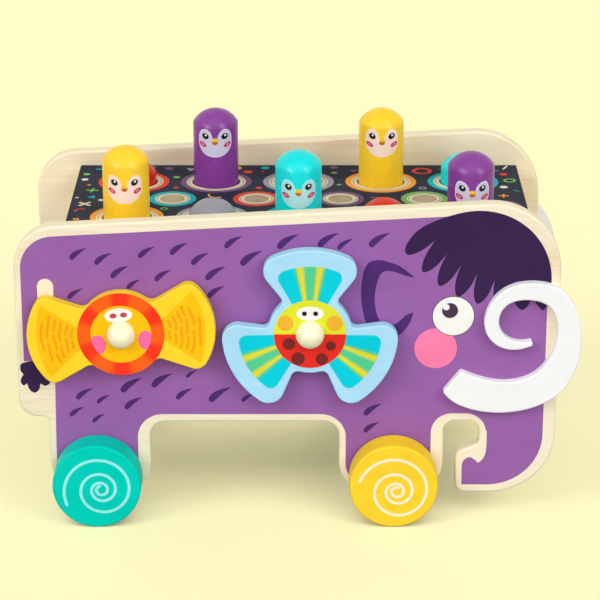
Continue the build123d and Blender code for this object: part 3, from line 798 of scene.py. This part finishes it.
EAR_INNER = [(61.9, 125.6), (56.0, 120.3), (49.5, 119.0), (45.0, 126.0), (43.6, 137.0), (45.4, 147.0),
             (47.8, 151.5), (50.9, 152.4), (56.8, 151.1), (61.5, 149.2)]
INK_SHEEN = 0.4
hair_ink = satin_paint("hair_ink", linear(54, 32, 74), INK_SHEEN)


def lock_side(start, end, shares):
    """Points that round out one side of a lock, to the left of the way from start to end."""
    way = Vector(end) - Vector(start)
    outwards = way.normalized().orthogonal() * LOCK_BULGE
    return [tuple(Vector(start) + way * share + outwards) for share in shares]


def fringe():
    """The hair: a round crown, and a fringe of locks from the trunk back to the ear."""
    crown = arc(*CROWN_CENTRE, CROWN_RADIUS, CROWN_START, CROWN_END, CROWN_STEPS)
    outline = FRINGE_LEFT + crown + FRINGE_RIGHT
    for i, tip in enumerate(LOCK_TIPS):
        if i > 0:
            outline += lock_side(LOCK_NOTCHES[i - 1], tip, DOWN_SHARES)
        outline.append(tip)
        if i < len(LOCK_NOTCHES):
            outline += lock_side(tip, LOCK_NOTCHES[i], UP_SHARES)
            outline.append((*LOCK_NOTCHES[i], TIP))
    return flowing(outline, HAIR_STEPS)


hair = [[fringe()], [flowing(TUFT, HAIR_STEPS)]]
ear = [[flowing(EAR_OUTER + EAR_INNER)]]
print_on_sides(hair=[(hair_ink, 2, hair)], ear=[(dark_ink, 2, ear)])

# %% Eye and cheek
EYE_PLACE = (88.8, 124.9)
EYE_RADIUS = 11.8
EYE_LINE = 0.4
EYE_POINTS = 64
PUPIL = (86.8, 128.3, 4.6)
GLINT = (84.6, 130.4, 1.9)
CHEEK = (79.0, 105.0, 12.3)
cheek_ink = satin_paint("cheek_ink", linear(252, 130, 170), SIDE_SHEEN)
eye_white_ink = satin_paint("eye_white_ink", linear(244, 242, 235), SIDE_SHEEN)
pupil_ink = satin_paint("pupil_ink", linear(74, 50, 72), INK_SHEEN)

print_on_sides(face=[
    (cheek_ink, 2, [[oval(*CHEEK)]]),
    (pupil_ink, 3, [[oval(*EYE_PLACE, EYE_RADIUS + EYE_LINE, count=EYE_POINTS)]]),
    (eye_white_ink, 4, [[oval(*EYE_PLACE, EYE_RADIUS, count=EYE_POINTS)]]),
    (pupil_ink, 5, [[oval(*PUPIL)]]),
    (eye_white_ink, 6, [[oval(*GLINT)]]),
])

# %% [markdown]
# ## Wheels
#
# Each wheel has a spiral line printed on its outer face. It opens out faster with each turn, like a snail
# shell, so its distance from the middle grows with the square of the turn. The line could be drawn through
# points by hand, but one formula keeps it smooth, and one ribbon along it makes the whole print.

# %% Wheel spirals
SPIRAL_START = -0.2
SPIRAL_END = 3.07
SPIRAL_STEPS = 200
SPIRAL_GROWTH = (2.73, 1.09, 1.72)
SPIRAL_WIDTH = 1.7
SPIRALS = {"tail": (0.0, 2.6, -1.9), "head": (-42.0, 1.6, -2.9)}
SPIRAL_COLOURS = {"teal_paint": linear(150, 236, 232), "yellow_paint": linear(255, 238, 205)}


def spiral(turn, u, v):
    """A line that opens out faster and faster from a place, turned by an angle in degrees."""
    path = []
    for i in range(SPIRAL_STEPS + 1):
        n = SPIRAL_START + (SPIRAL_END - SPIRAL_START) * i / SPIRAL_STEPS
        radius = sum(growth * n ** power for power, growth in enumerate(SPIRAL_GROWTH))
        angle = math.radians(180 + 360 * n + turn)
        path.append((u + radius * math.cos(angle), v + radius * math.sin(angle)))
    return path


def middle_of(node):
    """The middle of a piece's box."""
    low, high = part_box(node)
    return (low + high) / 2


def on_turned_face(node, side):
    """Puts a drawing round the middle of a turned piece's outer face, the same way round from both sides."""
    middle = middle_of(node)
    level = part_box(node)[0 if side < 0 else 1].y
    return lambda u, v, lift: Vector((middle.x - side * u * MM, level + side * lift * MM, middle.z + v * MM))


spiral_inks = {}
for paint_name, colour in SPIRAL_COLOURS.items():
    spiral_inks[paint_name] = satin_paint("spiral_on_" + paint_name, colour, INK_SHEEN)
slots = {row["node"]: row["material_slot"] for row in frame["record"]["subparts"]}
for end, place in SPIRALS.items():
    for side_name, side in SIDES.items():
        node = f"{end}_{side_name}_wheel"
        layer = (spiral_inks[slots[node]], 1, [[ribbon(spiral(*place), SPIRAL_WIDTH)]])
        lay_print(node + "_spiral", end + "_wheels", on_turned_face(node, side), [layer])

# %% [markdown]
# ## The fan spinner
#
# The fan is a light blue plate with three lobes. On each lobe a cyan field carries two yellow rays that
# fade into green between them, so that they blur into rings when the fan turns. A fading colour can't be
# cut as plates: a ramp that reads the angle round the fan's middle paints it, and the plates only give the
# field its outline. The middle is a round face, lime above and red below, with spots like a ladybird's.

# %% Angle round a middle
FAN_LOBES = 3


def angle_share(tree, middle, parts):
    """Where a spot lies within its part of the turn: 0.5 on the line through the part's middle."""
    place = add(tree, "ShaderNodeTexCoord").outputs["Object"]
    apart = add(tree, "ShaderNodeSeparateXYZ", [(0, place)]).outputs
    across = calculate(tree, "SUBTRACT", apart["X"], middle.x)
    upwards = calculate(tree, "SUBTRACT", apart["Z"], middle.z)
    turned = calculate(tree, "MULTIPLY", calculate(tree, "ARCTAN2", across, upwards), parts / (2 * math.pi))
    return calculate(tree, "FRACT", calculate(tree, "ADD", turned, 0.5 + parts))


def turning_ink(name, middle, parts, stops):
    """An ink whose colour changes with the angle round a middle."""
    finish = satin_paint(name, WHITE, INK_SHEEN)
    tree = finish.node_tree
    surface = tree.nodes["Principled BSDF"]
    clouds = surface.inputs["Base Color"].links[0].from_socket
    around = ramp(tree, angle_share(tree, middle, parts), stops)
    tree.links.new(blend(tree, 1.0, around, clouds, "MULTIPLY"), surface.inputs["Base Color"])
    return finish


print("fan turns about", [round(value / MM, 1) for value in middle_of("fan_pin")], "mm")

# %% Fan print
FAN_HUB = 20.7
FAN_FIELD_END = 41.0
FAN_FIELD_HALF = 29.0
FAN_CORNER = 4.5
CORNER_STEPS = 8
HUB_STEPS = 40
CYAN = linear(0, 206, 222)
RAY_YELLOW = linear(228, 218, 45)
RAY_GREEN = linear(85, 205, 145)
DEGREES_PER_LOBE = 360 / FAN_LOBES
RAY_STOPS = [(-14.5, CYAN), (-12, RAY_GREEN), (-9.5, RAY_YELLOW), (-7, RAY_YELLOW), (-4, RAY_GREEN),
             (4, RAY_GREEN), (7, RAY_YELLOW), (9.5, RAY_YELLOW), (12, RAY_GREEN), (14.5, CYAN)]
FAN_SPOTS = [(-12.1, -5.9, 3.6), (11.9, -7.1, 2.9), (-6.9, -14.9, 3.9), (6.8, -15.1, 3.6)]
FAN_EYE_LEVEL = 12.6
FAN_EYES = (0.0, FAN_EYE_LEVEL, 7.8, 4.3)
FAN_PUPILS = (3.2, FAN_EYE_LEVEL, 1.4)
FAN_CHEEKS = (14.0, 6.7, 4.6)
BLACK_SHEEN = 0.3

ray_places = [(0.5 + degrees / DEGREES_PER_LOBE, colour) for degrees, colour in RAY_STOPS]
ray_ink = turning_ink("fan_rays", middle_of("fan_pin"), FAN_LOBES, ray_places)
lime_ink = satin_paint("lime_ink", linear(226, 228, 44), INK_SHEEN)
fan_red_ink = satin_paint("fan_red_ink", linear(232, 46, 34), INK_SHEEN)
spot_ink = satin_paint("spot_ink", linear(120, 40, 36), INK_SHEEN)
black_ink = satin_paint("black_ink", linear(34, 28, 36), BLACK_SHEEN)
orange_ink = satin_paint("orange_ink", linear(240, 178, 50), INK_SHEEN)


def fan_field(lobe):
    """The field on one lobe: a wedge from the hub to near the tip, with round outer corners."""
    middle = 90 + lobe * DEGREES_PER_LOBE
    reach = FAN_FIELD_END - FAN_CORNER
    inner_half = FAN_FIELD_HALF - math.degrees(math.asin(FAN_CORNER / reach))
    turns = [math.radians(middle + side * inner_half) for side in (-1, 1)]
    right, left = [(reach * math.cos(turn), reach * math.sin(turn)) for turn in turns]
    loop = arc(0, 0, FAN_HUB, middle + FAN_FIELD_HALF, middle - FAN_FIELD_HALF)
    loop += arc(*right, FAN_CORNER, middle - FAN_FIELD_HALF - 90, middle - inner_half, CORNER_STEPS)
    loop += arc(0, 0, FAN_FIELD_END, middle - inner_half, middle + inner_half)[1:-1]
    return loop + arc(*left, FAN_CORNER, middle + inner_half, middle + FAN_FIELD_HALF + 90, CORNER_STEPS)


def pair(apart, v, *halves):
    """Two ovals, one as far left of the middle as the other is right of it."""
    return [[oval(side * apart, v, *halves)] for side in (-1, 1)]


fan_face = [
    (ray_ink, 1, [[fan_field(lobe)] for lobe in range(FAN_LOBES)]),
    (lime_ink, 1, [[arc(0, 0, FAN_HUB, 0, 180, HUB_STEPS)]]),
    (fan_red_ink, 1, [[arc(0, 0, FAN_HUB, 180, 360, HUB_STEPS)]]),
    (spot_ink, 2, [[oval(*spot)] for spot in FAN_SPOTS]),
    (orange_ink, 2, pair(*FAN_CHEEKS)),
    (eye_white_ink, 2, [[oval(*FAN_EYES)]]),
    (black_ink, 3, pair(*FAN_PUPILS)),
]


def on_spinner(node, pin, tilt=0.0):
    """Puts a drawing on a spinner's front face, round its pin, turned by an angle in degrees."""
    middle = middle_of(pin)
    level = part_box(node)[0].y
    turn = Matrix.Rotation(math.radians(tilt), 2)

    def place(u, v, lift):
        across, upwards = turn @ Vector((u, v))
        return Vector((middle.x + across * MM, level - lift * MM, middle.z + upwards * MM))
    return place


lay_print("fan_print", "fan", on_spinner("fan_spinner", "fan_pin"), fan_face)

# %% [markdown]
# ## The bow spinner
#
# The bow is a golden plate with two wings. A red and orange ring, painted by angle like the fan's rays,
# frames a round face, and short curved streaks cross the wings so that they blur into bands when the bow
# turns. The streaks could be a wave pattern, but each is only a short arc with a slight wave, so a ribbon
# draws it.

# %% Bow print
BOW_TILT = 6.0
BOW_RING_INNER = 17.4
BOW_RING_OUTER = 25.0
BOW_RING_POINTS = 72
BOW_RING_PARTS = 6
BOW_FIELD_END = 48.5
BOW_FIELD_HALF = 27.0
BOW_WAIST_SHARE = 0.55
BOW_STREAKS = [(28.0, -12, -2), (28.4, 3, 11), (31.5, -15, -6), (31.8, -1, 14), (35.0, -18, 1),
               (35.3, 6, 17), (38.5, -19, -9), (38.2, -5, 8), (38.6, 12, 20), (42.0, -21, -3),
               (42.3, 2, 16), (45.5, -14, 6)]
STREAK_WIDTH = 1.5
STREAK_WAVE = 0.3
STREAK_WAVES = 3
BOW_EYE_LEVEL = 11.6
BOW_EYES = (0.0, BOW_EYE_LEVEL, 8.0, 4.3)
BOW_PUPILS = (3.0, BOW_EYE_LEVEL, 2.0, 1.5)
BOW_CHEEKS = (13.8, -5.0, 4.4, 5.8)
BOW_RED = linear(250, 56, 26)
BOW_ORANGE = linear(250, 98, 22)
RING_STOPS = [(0.0, BOW_ORANGE), (0.2, BOW_ORANGE), (0.35, BOW_RED), (0.65, BOW_RED), (0.8, BOW_ORANGE)]

ring_ink = turning_ink("bow_ring", middle_of("bow_pin"), BOW_RING_PARTS, RING_STOPS)
gold_ink = satin_paint("gold_ink", linear(254, 194, 10), INK_SHEEN)
streak_ink = satin_paint("streak_ink", linear(248, 160, 14), INK_SHEEN)
pink_ink = satin_paint("pink_ink", linear(255, 110, 165), INK_SHEEN)
bow_pupil_ink = satin_paint("bow_pupil_ink", linear(196, 70, 82), INK_SHEEN)


def bow_field(middle):
    """The golden middle of one wing."""
    outer = arc(0, 0, BOW_FIELD_END, middle - BOW_FIELD_HALF, middle + BOW_FIELD_HALF)
    waist_half = BOW_FIELD_HALF * BOW_WAIST_SHARE
    return outer + arc(0, 0, BOW_RING_OUTER, middle + waist_half, middle - waist_half)


def streak(middle, radius, start, end):
    """A short, slightly wavy streak across one wing."""
    path = []
    for u, v in arc(0, 0, 1, middle + start, middle + end):
        wave = math.sin(STREAK_WAVES * math.atan2(v, abs(u)) * 2 * math.pi)
        reach = radius + STREAK_WAVE * wave
        path.append((u * reach, v * reach))
    return ribbon(path, STREAK_WIDTH)


def held_within(loop, radius):
    """A loop pulled in where it would leave a circle round the middle."""
    shares = [min(1.0, radius / math.hypot(*point)) for point in loop]
    return [(u * share, v * share) for (u, v), share in zip(loop, shares)]


wing_middles = (0, 180)
streaks = [[streak(middle, *row)] for middle in wing_middles for row in BOW_STREAKS]
ring_edges = [oval(0, 0, radius, count=BOW_RING_POINTS) for radius in (BOW_RING_OUTER, BOW_RING_INNER)]
bow_face = [
    (gold_ink, 1, [[bow_field(middle)] for middle in wing_middles] + [[oval(0, 0, BOW_RING_INNER)]]),
    (ring_ink, 1, [ring_edges]),
    (streak_ink, 2, streaks),
    (pink_ink, 2, [[held_within(loop, BOW_RING_INNER) for loop in cheek] for cheek in pair(*BOW_CHEEKS)]),
    (eye_white_ink, 2, [[oval(*BOW_EYES)]]),
    (bow_pupil_ink, 3, pair(*BOW_PUPILS)),
]
lay_print("bow_print", "bow", on_spinner("bow_spinner", "bow_pin", BOW_TILT), bow_face)

# %% [markdown]
# ## The board's print
#
# The board between the sides is printed dark slate, with a cream and a coloured ring round each peg hole
# and each post, and small plain shapes strewn between them. The sheet's outline and holes are read from the
# packed board, so they match its bores, and the rings take the colour of the peg that stands in them. The
# shapes could be placed one by one, but a fixed draw of random places, kept wherever nothing is in the way,
# fills the gaps evenly.

# %% Board sheet and rings
RING_COLOURS = {
    "yellow": linear(238, 160, 62),
    "grey": linear(158, 160, 168),
    "teal": linear(22, 178, 186),
    "red": linear(226, 74, 58),
    "purple": linear(120, 84, 124),
    "green": linear(120, 182, 92),
    "cream": linear(232, 222, 192),
}
PEG_RINGS = (16.6, 18.0, 21.5)
POST_RINGS = (9.2, 10.5, 14.0)
RING_LINE = 0.35
RING_GAP = 0.3
POST_RING_NAMES = ("teal", "red", "purple", "green")
HOLE_POINTS = 64
PEG_COLUMNS = 5
BOARD_GLOSS = 0.03
SHEET_SHEEN = 0.5
RING_SHEEN = 0.45

slate_ink = satin_paint("slate_ink", SLATE, SHEET_SHEEN, gloss=BOARD_GLOSS)
line_ink = satin_paint("line_ink", linear(128, 98, 78), SHEET_SHEEN, gloss=BOARD_GLOSS)
ring_inks = {}
for ring_name, colour in RING_COLOURS.items():
    ring_inks[ring_name] = satin_paint("ring_" + ring_name, colour, RING_SHEEN, gloss=BOARD_GLOSS)
board_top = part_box("game_board")[1].z
pegs = [(row, f"{row}_peg_{column}") for row in SIDES for column in range(1, PEG_COLUMNS + 1)]
taken = []


def on_board(u, v, lift):
    """Puts a drawing on top of the board."""
    return Vector((u * MM, v * MM, board_top + lift * MM))


def middle_and_half(values):
    """The middle of some measures, and half of what lies between the ends."""
    return (max(values) + min(values)) / 2, (max(values) - min(values)) / 2


board_outline, *board_holes = flat_rims("game_board", Z_AXIS, 1)
hole_radius = {}
for hole in board_holes:
    (u, radius), (v, _) = [middle_and_half(measures) for measures in zip(*hole)]
    hole_radius[round(u), round(v)] = radius
lay_print("board_sheet", "frame", on_board, [(slate_ink, 1, [[anticlockwise(board_outline)] + board_holes])])


def paint_of(node):
    """The name of a peg's paint."""
    return slots[node].replace("peg_", "")


def board_ring(node, ink, ends):
    """The rings round the hole that a piece stands in: cream with a thin line in it, and then coloured."""
    middle = middle_of(node) / MM
    spot = (middle.x, middle.y)
    hole = min(hole_radius, key=lambda place: math.hypot(place[0] - spot[0], place[1] - spot[1]))
    line, cream, colour = ends
    radii = (colour, cream, hole_radius[hole] + RING_GAP, line + RING_LINE, line)
    edges = [oval(*spot, radius, count=HOLE_POINTS) for radius in radii]
    taken.append((*spot, colour))
    return [(ink, 2, [edges[:2]]), (ring_inks["cream"], 2, [edges[1:3]]), (line_ink, 3, [edges[3:]])]


rings = []
for _, node in pegs:
    rings += board_ring(node, ring_inks[paint_of(node)], PEG_RINGS)
for column, ring_name in enumerate(POST_RING_NAMES, 1):
    rings += board_ring(f"shaft_post_{column}", ring_inks[ring_name], POST_RINGS)
lay_print("board_rings", "frame", on_board, rings)

# %% Board shapes
import random

BAR = 1.3
thin, far = BAR / 2, 3
SHAPES = {
    "dot": [oval(0, 0, 1.6)],
    "hoop": [oval(0, 0, 3.4), oval(0, 0, 2.1)],
    "bar": [ribbon([(-3.4, 0), (3.4, 0)], BAR)],
    "plus": [[(-far, -thin), (-thin, -thin), (-thin, -far), (thin, -far), (thin, -thin), (far, -thin),
              (far, thin), (thin, thin), (thin, far), (-thin, far), (-thin, thin), (-far, thin)]],
    "wedge": [[(-3.2, -2.2), (3.2, -2.2), (0, 3.4)]],
    "curve": [ribbon(arc(0, -2, 4.4, 20, 160), BAR)],
}
SHAPE_SIZES = (0.6, 2.2)
SHAPE_REACH = 4.2
DOT_REACH = SHAPE_REACH / 2
SHAPE_ROOM = 1.0
SHAPE_TRIES = 4000
SHAPE_SEED = 7
draws = random.Random(SHAPE_SEED)


def strewn(kind, u, v, size, turn, colour):
    """One plain shape on the board."""
    rotate = Matrix.Rotation(math.radians(turn), 2)
    middle = Vector((u, v))
    loops = [[tuple(middle + rotate @ Vector(point) * size) for point in loop] for loop in SHAPES[kind]]
    return ring_inks[colour], 2, [loops]


def strew():
    """Shapes at random places that are clear of the rings, of one another and of the board's edges."""
    half_length, half_width = max(board_outline)[0], max(spot[1] for spot in board_outline)
    shapes = []
    for _ in range(SHAPE_TRIES):
        kind, colour = draws.choice(list(SHAPES)), draws.choice(list(RING_COLOURS))
        size, turn = draws.uniform(*SHAPE_SIZES), draws.uniform(0, 180)
        reach = size * (DOT_REACH if kind == "dot" else SHAPE_REACH) + SHAPE_ROOM
        u = draws.uniform(reach - half_length, half_length - reach)
        v = draws.uniform(reach - half_width, half_width - reach)
        if all(math.hypot(u - other[0], v - other[1]) > other[2] + reach for other in taken):
            taken.append((u, v, reach))
            shapes.append(strewn(kind, u, v, size, turn, colour))
    return shapes


lay_print("board_shapes", "frame", on_board, strew())

# %% [markdown]
# ## Peg faces
#
# Every peg has a small bird's face printed on its front: a pale heart-shaped mask with a paler rim, two
# eyes, a beak and two cheeks. It bends round the peg below its domed top, so a flat plate won't lie on it.
# Instead each shape is a grid: columns round the peg, each with its own upper and lower end, wrapped on the
# peg's radius.

# %% Inks of the peg faces
MASK_COLOURS = {
    "yellow": linear(252, 222, 204), "purple": linear(208, 202, 227), "teal": linear(171, 224, 225),
    "red": linear(250, 215, 210), "grey": linear(225, 228, 235),
}
RIM_COLOURS = {
    "yellow": linear(253, 234, 220), "purple": linear(240, 234, 250), "teal": linear(200, 238, 238),
    "red": linear(252, 230, 226), "grey": linear(240, 242, 246),
}
FACE_COLOURS = {
    "peg_eye": linear(26, 22, 28), "peg_glint": linear(246, 244, 240), "peg_cheek": linear(190, 54, 92),
    "peg_blush": linear(232, 124, 152), "beak_top": linear(238, 198, 44), "beak_foot": linear(196, 98, 40),
}


def lacquered_ink(name, colour):
    """Ink under the same clear lacquer as the peg."""
    return satin_paint(name, colour, PEG_SHEEN, GRAIN_ALONG_Z, gloss=PEG_GLOSS)


mask_inks = {name: lacquered_ink("mask_" + name, colour) for name, colour in MASK_COLOURS.items()}
rim_inks = {name: lacquered_ink("mask_rim_" + name, colour) for name, colour in RIM_COLOURS.items()}
face_inks = {name: lacquered_ink(name, colour) for name, colour in FACE_COLOURS.items()}
print(len(mask_inks) + len(rim_inks) + len(face_inks), "inks for the faces")

# %% Shapes as columns
MASK_SIDE = 0.4
MASK_DIPS = {"front": 0.42, "rear": 0.35}
MASK_NOTCH = 0.135
MASK_LOBES = {"front": 0.69, "rear": 0.6}
MASK_FULLNESS = 2.1
MASK_COLUMNS = 64
END_SHARE = 0.985
OVAL_COLUMNS = 14


def mask_columns(row, top, bottom, half):
    """The heart-shaped mask as columns (place round the peg, upper end, lower end)."""
    tall = bottom - top
    lobe = MASK_LOBES[row]
    columns = []
    for i in range(MASK_COLUMNS + 1):
        share = -math.cos(math.pi * i / MASK_COLUMNS) * END_SHARE
        inner = abs(share) < lobe
        reach = lobe - MASK_NOTCH if inner else 1 - lobe
        fall = MASK_DIPS[row] if inner else MASK_SIDE
        arch = 1 - math.sqrt(1 - min(abs(abs(share) - lobe) / reach, 1) ** 2)
        low = MASK_SIDE + (1 - MASK_SIDE) * (1 - abs(share) ** MASK_FULLNESS) ** (1 / MASK_FULLNESS)
        columns.append((share * half, top + tall * fall * arch, top + tall * low))
    return columns


def oval_columns(u, drop, half_width, half_height, slant=0.0, ends=(-1, 1)):
    """An oval as columns, slanted down to the right; its ends keep the upper half, the lower half or both."""
    columns = []
    for i in range(OVAL_COLUMNS + 1):
        share = -math.cos(math.pi * i / OVAL_COLUMNS) * END_SHARE
        level = drop + slant * share * half_width
        half = half_height * math.sqrt(1 - share * share)
        columns.append((u + share * half_width, level + ends[0] * half, level + ends[1] * half))
    return columns


print("a mask has", MASK_COLUMNS, "columns and an oval", OVAL_COLUMNS)

# %% Wrapping a shape round a peg
GRID_ROWS = 8
peg_spots = [vertex.co for vertex in frame["nodes"]["front_peg_1"].data.vertices if vertex.co.z > board_top]
peg_radius = middle_and_half([spot.x for spot in peg_spots])[1] / MM


def add_wrapped(mesh, columns, middle, top, level, index):
    """Adds one closed sheet wrapped round a peg."""
    sheets = []
    for lift in ((level - 1) * INK_STEP - INK_SINK, level * INK_STEP):
        reach = (peg_radius + lift) * MM
        sheet = []
        for u, upper, lower in columns:
            drops = [upper + (lower - upper) * i / GRID_ROWS for i in range(GRID_ROWS + 1)]
            turn = u / peg_radius
            spot = (middle.x + reach * math.sin(turn), middle.y - reach * math.cos(turn))
            sheet.append([mesh.verts.new((*spot, top - drop * MM)) for drop in drops])
        sheets.append(sheet)
    back, front = sheets
    faces = []
    for i in range(len(columns) - 1):
        for j in range(GRID_ROWS):
            for sheet in sheets:
                faces.append((sheet[i][j], sheet[i + 1][j], sheet[i + 1][j + 1], sheet[i][j + 1]))
        for j in (0, GRID_ROWS):
            faces.append((back[i][j], back[i + 1][j], front[i + 1][j], front[i][j]))
    for j in range(GRID_ROWS):
        for i in (0, len(columns) - 1):
            faces.append((back[i][j], back[i][j + 1], front[i][j + 1], front[i][j]))
    for corners in faces:
        mesh.faces.new(corners).material_index = index


print("pegs are", round(2 * peg_radius, 1), "mm thick above the board")

# %% Peg faces
MASK_SPANS = {"front": (14.0, 30.9), "rear": (9.4, 26.6)}
MASK_HALF = 10.9
MASK_RIM = 0.45
PEG_EYE_APART = 5.95
PEG_EYE_DROP = 0.25
PEG_EYE_HALVES = (2.15, 1.82)
PEG_EYE_SLANT = 0.18
PEG_GLINT_SHIFT = (0.28, -0.6)
PEG_GLINT_HALVES = (0.62, 0.62)
PEG_CHEEK_APART = 7.7
PEG_CHEEK_DROP = 0.55
PEG_CHEEK_HALVES = (2.4, 1.4)
PEG_CHEEK_SLANT = 0.34
BLUSH_SHARE = 0.5
BEAK_HALF = 1.85
BEAK_DROPS = (0.31, 0.44, 0.56)


def face_parts(row):
    """The columns of every shape in a face with its ink's name and its level."""
    upper, lower = MASK_SPANS[row]
    tall = lower - upper
    parts = [
        ("mask_rim", 1, mask_columns(row, upper, lower, MASK_HALF)),
        ("mask", 2, mask_columns(row, upper + MASK_RIM, lower - MASK_RIM, MASK_HALF - MASK_RIM)),
    ]
    blush_halves = [half * BLUSH_SHARE for half in PEG_CHEEK_HALVES]
    for side in (-1, 1):
        eye = (side * PEG_EYE_APART, upper + tall * PEG_EYE_DROP)
        glint = [place + shift for place, shift in zip(eye, PEG_GLINT_SHIFT)]
        cheek = (side * PEG_CHEEK_APART, upper + tall * PEG_CHEEK_DROP)
        parts += [
            ("peg_eye", 3, oval_columns(*eye, *PEG_EYE_HALVES, -side * PEG_EYE_SLANT)),
            ("peg_glint", 4, oval_columns(*glint, *PEG_GLINT_HALVES)),
            ("peg_cheek", 3, oval_columns(*cheek, *PEG_CHEEK_HALVES, -side * PEG_CHEEK_SLANT)),
            ("peg_blush", 4, oval_columns(*cheek, *blush_halves, -side * PEG_CHEEK_SLANT)),
        ]
    high, mid, low = [upper + tall * share for share in BEAK_DROPS]
    parts.append(("beak_top", 3, oval_columns(0, mid, BEAK_HALF, mid - high, ends=(-1, 0))))
    parts.append(("beak_foot", 3, oval_columns(0, mid, BEAK_HALF, low - mid, ends=(0, 1))))
    return parts


def peg_face(row, node):
    """The face on one peg."""
    inks = {"mask_rim": rim_inks[paint_of(node)], "mask": mask_inks[paint_of(node)], **face_inks}
    mesh = bmesh.new()
    for ink, level, columns in face_parts(row):
        add_wrapped(mesh, columns, middle_of(node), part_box(node)[1].z, level, list(inks).index(ink))
    keep_piece(node + "_face", node + "_body", mesh, list(inks.values()))


for row, node in pegs:
    peg_face(row, node)

# %% [markdown]
# ## Size
#
# Each ink is thinner than a tenth of a millimetre, and the wheels, which stand out most, carry only one. So
# the whole toy still fills the imported model's box to within that.

# %% Size
import json
